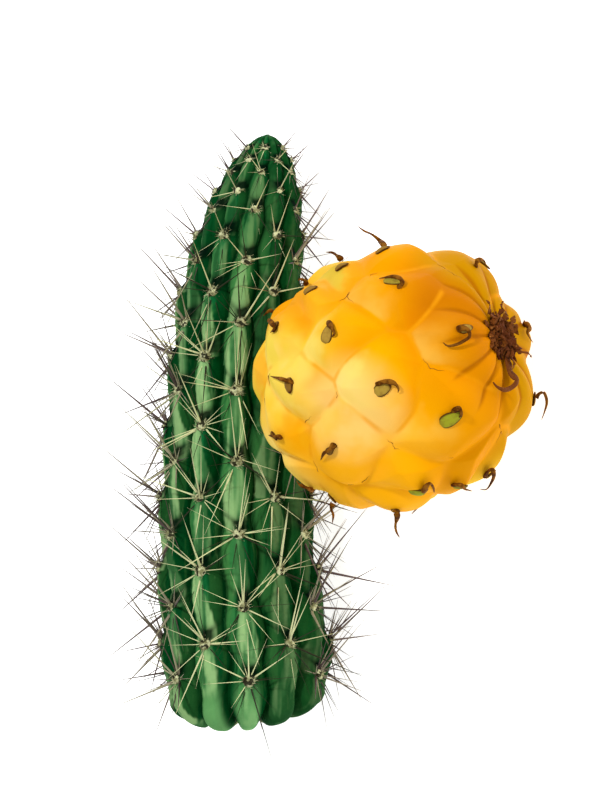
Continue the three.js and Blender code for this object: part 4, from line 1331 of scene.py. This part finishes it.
def tongue_of(k):
    """Half length, half width, way ahead in stem directions and tone of one tongue."""
    seat = SEATS[k]
    if k < len(TONGUES):
        length, width, angle, tone = TONGUES[k]
        ahead = np.array([math.cos(math.radians(angle)), math.sin(math.radians(angle)), 0])
        return TONGUE_GROWTH * length, TONGUE_GROWTH * width, unit(ahead - (ahead @ seat) * seat), tone
    to_tip = unit(FRUIT_AXIS - (FRUIT_AXIS @ seat) * seat)
    twist = (draw(k, 1, 0) - 0.5) * 1.4
    ahead = to_tip * math.cos(twist) + np.cross(seat, to_tip) * math.sin(twist)
    size = 0.7 + 0.4 * draw(k, 5, 0)
    return 1.8 * size, 1.2 * size, ahead, draw(k, 6, 0)


def tongue(k):
    """A flat almond that follows the skin."""
    length, width, ahead, _ = tongue_of(k)
    share = np.linspace(0, 1, 15)
    directions = unit(SEATS[k] + ahead * ((2 * share - 1) * length / FRUIT_MEAN_RADIUS)[:, None])
    line = directions * (fruit_radius(directions) + 0.1 + 0.3 * share**3)[:, None]
    outline = np.sqrt(np.sin(np.pi * share**0.8).clip(0)) * (1 - 0.25 * share) + 0.05
    return line, width * outline, 0.45 * outline, directions


def hook(k):
    """The dried end: out, over the tongue and away in a point."""
    share = np.linspace(0, 1, HOOK_STEPS + 1)
    seat = SEATS[k]
    if k < len(HOOKS):
        flat = along_points(HOOKS[k], HOOK_STEPS + 1) + SCALE_SEATS[k]
        line = over_the_skin(flat, 0.1 + 1.3 * np.sin(math.pi * share**0.8) + 0.4 * share)
    else:
        length, _, ahead, _ = tongue_of(k)
        start = unit(seat + ahead * length * 0.55 / FRUIT_MEAN_RADIUS)
        step = between(HOOK_LENGTH, draw(k, 2, 0)) / HOOK_STEPS
        bend = 1.25 - math.radians(between(HOOK_CURL, draw(k, 3, 0))) * smooth(share / 0.62)
        sway = (draw(k, 4, 0) - 0.5) * 1.6 * share
        forward = np.outer(np.cos(bend), start) + np.outer(np.sin(bend), ahead)
        ways = unit(forward + np.outer(sway, np.cross(seat, ahead)))
        line = start * float(fruit_radius(start[None])[0]) + step * np.cumsum(ways, axis=0)
    radius = HOOK_RADIUS * (1 - share) ** 0.8 * (1 + 0.25 * np.sin(9 * share + k)) + 0.08
    return line, radius, 0.75 * radius, unit(line)


def scale_has_room(seat):
    """No scale grows where the fruit rests on the surface or on its stalk."""
    low = fruit_point(seat[None])[0, 2] < LEAST_HEIGHT
    near_stem = math.acos(float(seat @ FRUIT_AXIS)) > STALK_ANGLE
    return not low and not near_stem


print(sum(scale_has_room(seat) for seat in SEATS), "of", len(SEATS), "scales have room")

# %% [markdown]
# ## Scale finishes and scales
# A tongue is green to brown flesh with a dark dry rim and end, and a hook is mottled brown all over.
# Both are bunches of horns, one horn for each scale.

# %% Scale finishes and scales
def tongue_finish():
    f = Finish("scale tongue", 0.6, Specular_IOR_Level=0.04)
    flesh = f.mix(f.ramp(f.number("tone"), 0.0, 0.75), (146, 152, 30), (168, 134, 54))
    flesh = f.mix(f.ramp(f.number("tone"), 0.75, 1.0, 0, 0.85), flesh, (112, 72, 22))
    flesh = f.mix(f.ramp(f.noise(900, 3), 0.45, 0.7, 0, 0.5), flesh, (124, 92, 34))
    flesh = f.mix(f.ramp(f.number("rim"), 0.66, 0.95), flesh, (70, 40, 8))
    f.paint(f.mix(f.ramp(f.number("along"), 0.75, 0.95), flesh, (78, 40, 8)))
    f.bump(f.noise(1500, 3), 0.0002, 0.6)
    return f.material


def hook_finish():
    f = Finish("scale hook", 0.7, Specular_IOR_Level=0.04)
    dry = f.mix(f.ramp(f.noise(650, 3), 0.38, 0.64), (76, 38, 2), (134, 84, 18))
    f.paint(f.mix(f.ramp(f.number("along"), 0.5, 1.0, 0, 0.6), dry, (104, 64, 24)))
    f.bump(f.noise(1500, 3), 0.0003, 0.7)
    return f.material


def make_scales(name, shape, sides, finish):
    bunch = Bunch()
    for k, seat in enumerate(SEATS):
        if scale_has_room(seat):
            line, wide, thick, facing = shape(k)
            world = placed(FRUIT_MIDDLE + line) / MM
            world[:, 2] = np.maximum(world[:, 2], 0.4)
            bunch.put(*horn(world, wide, thick, turned(facing), sides), tongue_of(k)[3])
    bunch.make(name, "fruit_scale", finish)


make_scales("scale_tongues", tongue, 16, tongue_finish())
make_scales("scale_hooks", hook, 10, hook_finish())

# %% [markdown]
# ## Corky scars
# Where three swellings meet, the skin has cracked as the fruit grew and healed with thin brown cork. The
# meeting places are the directions that are equally far from three neighbouring scales, and each scar
# runs from there a little way along the creases.

# %% Corky scars
SCAR_LENGTH = [1.2, 4.2]
SCAR_RADIUS = 0.08
SCAR_SHARE = 0.42


def scar_finish():
    f = Finish("corky scar", 0.8, Specular_IOR_Level=0.1)
    f.paint(f.mix(f.ramp(f.noise(500, 2), 0.4, 0.6), (132, 82, 14), (172, 112, 30)))
    f.bump(f.noise(1500, 3), 0.0001, 0.5)
    return f.material


def meeting_places():
    """Directions equally far from three scales with no other scale nearer."""
    places = []
    for a in range(len(SEATS)):
        for b in range(a + 1, len(SEATS)):
            if SEATS[a] @ SEATS[b] < 0.4:
                continue
            for c in range(b + 1, len(SEATS)):
                middle = np.cross(SEATS[b] - SEATS[a], SEATS[c] - SEATS[a])
                if SEATS[a] @ SEATS[c] < 0.4 or np.linalg.norm(middle) < 1e-6:
                    continue
                middle = unit(middle) * np.sign(middle @ SEATS[a])
                if (SEATS @ middle).max() < SEATS[a] @ middle + 1e-6:
                    places.append((middle, (a, b, c)))
    return places


def make_scars():
    bunch = Bunch()
    for place, corners in meeting_places():
        for n in range(3):
            pair = SEATS[corners[n]] + SEATS[corners[n - 1]]
            chance = draw(corners[0] + 7 * n, corners[1], corners[2])
            if chance > SCAR_SHARE or place @ FRUIT_AXIS > 0.9:
                continue
            way = unit(pair) - place * (unit(pair) @ place)
            if np.linalg.norm(way) < 0.02:
                continue
            length = between(SCAR_LENGTH, draw(corners[0], corners[1] + n, 3))
            share = np.linspace(0, 1, 12)
            directions = unit(place + unit(way) * (share * length / FRUIT_MEAN_RADIUS)[:, None])
            sway = 0.0035 * np.sin(9 * share + 20 * chance)[:, None]
            directions = unit(directions + sway * np.cross(place, unit(way)))
            radius = SCAR_RADIUS * (1.15 - share)
            bunch.put(*horn(fruit_point(directions), radius, radius, turned(directions), 5), 0.6)
    bunch.make("corky_scars", "fruit_scale", scar_finish())


make_scars()

# %% [markdown]
# ## Stalk
# The fruit sits on its areole by a short thick neck, green near the stem and corky where it spreads into
# the berry. It hides behind the fruit from the front, and is seen from below and behind.

# %% Stalk
STALK_RADIUS = 2.8
STALK_FLARE = 5.5
STALK_LENGTH = 8


def stalk_finish():
    f = Finish("stalk", 0.6)
    f.paint(f.mix(f.ramp(f.number("along"), 0.15, 0.8), (78, 106, 48), (206, 160, 52)))
    f.bump(f.noise(600, 3), 0.0004, 0.6)
    return f.material


def make_stalk():
    turn = math.radians(FIRST_RIB_TURN) + STALK_RIB * PITCH
    radius = stem_radius(np.array(STALK_PLACE), turn)
    seat = placed(stem_point(np.array(STALK_PLACE), np.array(turn), radius - 1.2)) / MM
    way = unit(FRUIT_CENTRE - seat)
    share = np.linspace(0, 1, 14)
    line = seat + way * (share * STALK_LENGTH)[:, None]
    radii = STALK_RADIUS + (STALK_FLARE - STALK_RADIUS) * share**1.4
    bunch = Bunch()
    points, faces, along, rim = horn(line, radii, radii * 0.96, np.array([0.0, 0.3, 1.0]), 40)
    middle = line[np.minimum(np.arange(len(points)) // 40, len(line) - 1)]
    ridge = 1 + 0.05 * np.cos(np.arange(len(points)) % 40 * 2 * math.pi / 40 * 7)
    bunch.put(middle + (points - middle) * ridge[:, None], faces, along, rim, 0.5)
    bunch.make("fruit_stalk", "fruit_scale", stalk_finish())


make_stalk()

# %% [markdown]
# ## Dried flower
# The flower dries up and stays on the fruit's far end as a dark brown tuft: a crumpled cushion with
# brittle strips that twist and curl out of it, one of them long enough to hang down over the skin.

# %% Dried flower rules and mesh
REMNANT_RADIUS = 4.4
REMNANT_HEIGHT = 2.0
STRIP_COUNT = 44
HANGING_CURL = [
    # millimetres to the side and along the stem from the fruit's middle
    [24.0, 5.6], [24.4, 3.2], [25.0, 0.6], [26.3, -0.9], [25.6, -2.2], [23.8, -3.0], [22.2, -2.4],
    [21.3, -1.4],
]
REMNANT_SEAT = fruit_point(FRUIT_AXIS[None], 0.4)[0]
REMNANT_WAY = turned(FRUIT_AXIS)
REMNANT_EAST, REMNANT_NORTH = turned(FRUIT_EAST), turned(FRUIT_NORTH)


def remnant_finish():
    f = Finish("dried flower", 0.85, Specular_IOR_Level=0.15)
    dry = f.mix(f.number("tone"), (84, 34, 4), (124, 68, 14))
    dry = f.mix(f.ramp(f.noise(900, 4), 0.5, 0.75, 0, 0.7), dry, (52, 16, 4))
    dry = f.mix(f.ramp(f.noise(1500, 2), 0.68, 0.76, 0, 0.7), dry, (186, 132, 66))
    f.paint(dry)
    f.bump(f.noise(1300, 4), 0.0006, 0.8)
    return f.material


def cushion():
    """A low dome, crumpled by ripples, with its edge tucked into the navel."""
    around, rows = 72, 22
    share, angle = ring_grid(np.linspace(0, 1, rows), around)
    spread = np.sin(share * math.pi / 2) * REMNANT_RADIUS
    rough = disc_ripple(share, angle, 9, 16, 11)
    crumb = disc_ripple(share, angle, 9, 34, 12)
    spread = spread * (1 + 0.22 * disc_ripple(share, angle, 7, 7, 13) * share)
    height = REMNANT_HEIGHT * (1 - share**3) + 1.5 * rough + 0.9 * crumb - 1.6 * share**4
    points = (REMNANT_SEAT + REMNANT_EAST * (spread * np.cos(angle))[..., None]
              + REMNANT_NORTH * (spread * np.sin(angle))[..., None] + REMNANT_WAY * height[..., None])
    points = points.reshape(-1, 3)[around:]
    top = REMNANT_SEAT + REMNANT_WAY * float(height[0].mean())
    low = REMNANT_SEAT - REMNANT_WAY * 3
    points = np.vstack([points, top, low])
    faces = closed_faces(rows - 1, around, reverse=True)
    return points, faces, np.full(len(points), 0.2), np.zeros(len(points))


def strip(k):
    """A brittle strip of a dried petal: it leans out, crumples and curls."""
    angle = k * GOLDEN_TURN
    spread = math.sqrt((k + 0.5) / STRIP_COUNT)
    outward = REMNANT_EAST * math.cos(angle) + REMNANT_NORTH * math.sin(angle)
    aside = np.cross(REMNANT_WAY, outward)
    length = 3.2 + 4.4 * draw(k, 2, 6) ** 2
    curl = math.radians(10 + 120 * draw(k, 3, 6))
    sway = 3.0 * (draw(k, 4, 6) - 0.5)
    steps = 16
    points = [REMNANT_SEAT + outward * REMNANT_RADIUS * 0.72 * spread + REMNANT_WAY * 0.9]
    for n in range(steps):
        share = n / steps
        bend = 0.4 + 0.9 * spread + curl * share + 0.6 * math.sin(11 * share + k)
        way = REMNANT_WAY * math.cos(bend) + outward * math.sin(bend) + aside * sway * share
        points.append(points[-1] + unit(way) * length / steps)
    line = lifted(np.array(points))
    share = np.linspace(0, 1, len(line))
    ragged = 1 + 0.35 * np.sin(share * 15 + 9 * draw(k, 5, 6))
    wide = (0.5 + 0.8 * draw(k, 7, 6)) * (1 - share) ** 0.45 * ragged + 0.08
    return horn(line, wide, 0.28 * (1.15 - share), outward + 0.7 * sway * aside, 8)


def hanging_curl():
    """The one long curl that hangs down over the skin and turns up at its end."""
    share = np.linspace(0, 1, 40)
    line = over_the_skin(along_points(HANGING_CURL, 40), 0.9 + 1.0 * np.sin(share * math.pi))
    wide = np.where(share < 0.4, 1.15 - 1.0 * share, 0.75 * (1 - share) / 0.6) + 0.12
    return horn(placed(FRUIT_MIDDLE + line) / MM, wide, 0.35 - 0.15 * share, turned(unit(line)), 10)


def lifted(line):
    """Keeps a line just over the fruit's skin."""
    local = (line - FRUIT_CENTRE) @ TURN.T
    distance = np.linalg.norm(local, axis=1)
    directions = unit(local)
    short = np.maximum(0, fruit_radius(directions) + 0.3 - distance)
    return line + turned(directions * short[:, None])


def make_remnant():
    bunch = Bunch()
    bunch.put(*cushion(), 0.2)
    for k in range(STRIP_COUNT):
        bunch.put(*strip(k), draw(k, 8, 6))
    bunch.put(*hanging_curl(), 0.55)
    bunch.make("dried_flower", "dried_flower", remnant_finish(), ["flower_remnant"])


make_remnant()

# %% [markdown]
# ## The cut end
# The stem was cut a little aslant and has dried. The face shows the rings of a cactus stem: green skin,
# pale flesh shrunk a little into a dish, a thin woody ring and the pith in the middle.

# %% Cut face
def cut_finish():
    f = Finish("cut face", 0.85)
    place = f.number("from_middle")
    dry = f.mix(f.ramp(place, 0.5, 0.95), (206, 196, 140), (120, 138, 76))
    dry = f.mix(f.ramp(place, 0.3, 0.22), dry, (190, 176, 118))
    ring = f.times(f.ramp(place, 0.36, 0.42), f.ramp(place, 0.52, 0.46))
    dry = f.mix(f.times(ring, f.ramp(f.noise(900, 2), 0.35, 0.6, 0.4, 0.95)), dry, (116, 84, 44))
    dry = f.mix(f.ramp(f.noise(260, 4), 0.45, 0.75, 0, 0.6), dry, (150, 116, 62))
    f.paint(dry)
    f.bump(f.noise(1100, 4), 0.0005, 0.7)
    return f.material


def make_cut_face():
    around, rows = 240, 34
    share, turn = ring_grid(np.linspace(1, 0.02, rows), around)
    start = 0 * turn[:1]
    radius = stem_radius(start, turn[:1]) * share * 0.97
    lobes = CUT_LOBE * rib_share(start, turn[:1])[1] ** 3
    plane = CUT_SLANT * (1 - share * np.cos(turn)) + CUT_LEAN * share * np.sin(turn) + lobes * share**8
    dish = 0.2 + 0.8 * smooth((1 - share) / 0.25) - 0.35 * np.exp(-(((share - 0.44) / 0.06) ** 2))
    dish += 0.12 * disc_ripple(share, turn, 9, 26, 21) * smooth((1 - share) / 0.1)
    side = radius * np.sin(turn) + STEM_LEAN[0, 1]
    top = np.stack([side, plane + dish, radius * np.cos(turn)], axis=-1)
    back = np.stack([side[:1], plane[:1] + DISH_DEPTH - 0.1, top[:1, :, 2]], axis=-1)
    ends = [CUT_SLANT + DISH_DEPTH - 0.1, CUT_SLANT + float(dish[-1].mean())]
    middles = [[STEM_LEAN[0, 1], end, 0] for end in ends]
    points = np.vstack([np.concatenate([back, top]).reshape(-1, 3), middles])
    faces = closed_faces(rows + 1, around, reverse=True)
    from_middle = np.concatenate([np.ones(around), share.ravel(), [1, 0]])
    make_piece("cut_face", placed(points), faces, "cut_callus", cut_finish(), from_middle=from_middle)


make_cut_face()

# %% [markdown]
# ## Surface and light
# A light table and soft light: one lamp from the upper left as the picture has it, a weak broad one
# from the right, and an even pale sky so that no side goes black. The floor glows a little, as the
# glass of a light table does, so that the part's own shadow stays pale.

# %% Floor, lamps and sky
FLOOR_GLOW = 0.8
SKY_STRENGTH = 0.62


def make_floor():
    mesh = bpy.data.meshes.new("floor")
    reach = 6
    corners = [(-reach, -reach, 0), (reach, -reach, 0), (reach, reach, 0), (-reach, reach, 0)]
    mesh.from_pydata(corners, [], [(0, 1, 2, 3)])
    floor = in_scene("floor", mesh)
    f = Finish("floor", 0.9, Emission_Strength=FLOOR_GLOW)
    f.paint((250, 250, 249))
    mesh.materials.append(f.material)


def lamp(name, way, distance, size, watts):
    """A square lamp that shines on the middle of the part from a direction given as the stem's own."""
    data = bpy.data.lights.new(name, "AREA")
    data.size = size
    data.energy = watts
    made = in_scene(name, data)
    middle = Vector(placed(FRAME_MIDDLE))
    away = Vector(turned(unit(np.array(way))))
    made.location = middle + away * distance
    made.rotation_euler = away.to_track_quat("Z", "Y").to_euler()


make_floor()
lamp("key", (-0.5, 0.45, 1.0), 0.9, 0.06, 5.0)
lamp("fill", (0.9, -0.2, 0.9), 1.1, 0.8, 0.5)
world = bpy.data.worlds.new("sky")
world.use_nodes = True
world.node_tree.nodes["Background"].inputs["Color"].default_value = (1, 1, 1, 1)
world.node_tree.nodes["Background"].inputs["Strength"].default_value = SKY_STRENGTH
bpy.context.scene.world = world
bpy.context.scene.view_settings.view_transform = "Standard"
print("lamps:", [lamp_data.name for lamp_data in bpy.data.lights])

# %% [markdown]
# ## Last update
# The view layer is brought up to date once more.

# %% Last update
bpy.context.view_layer.update()
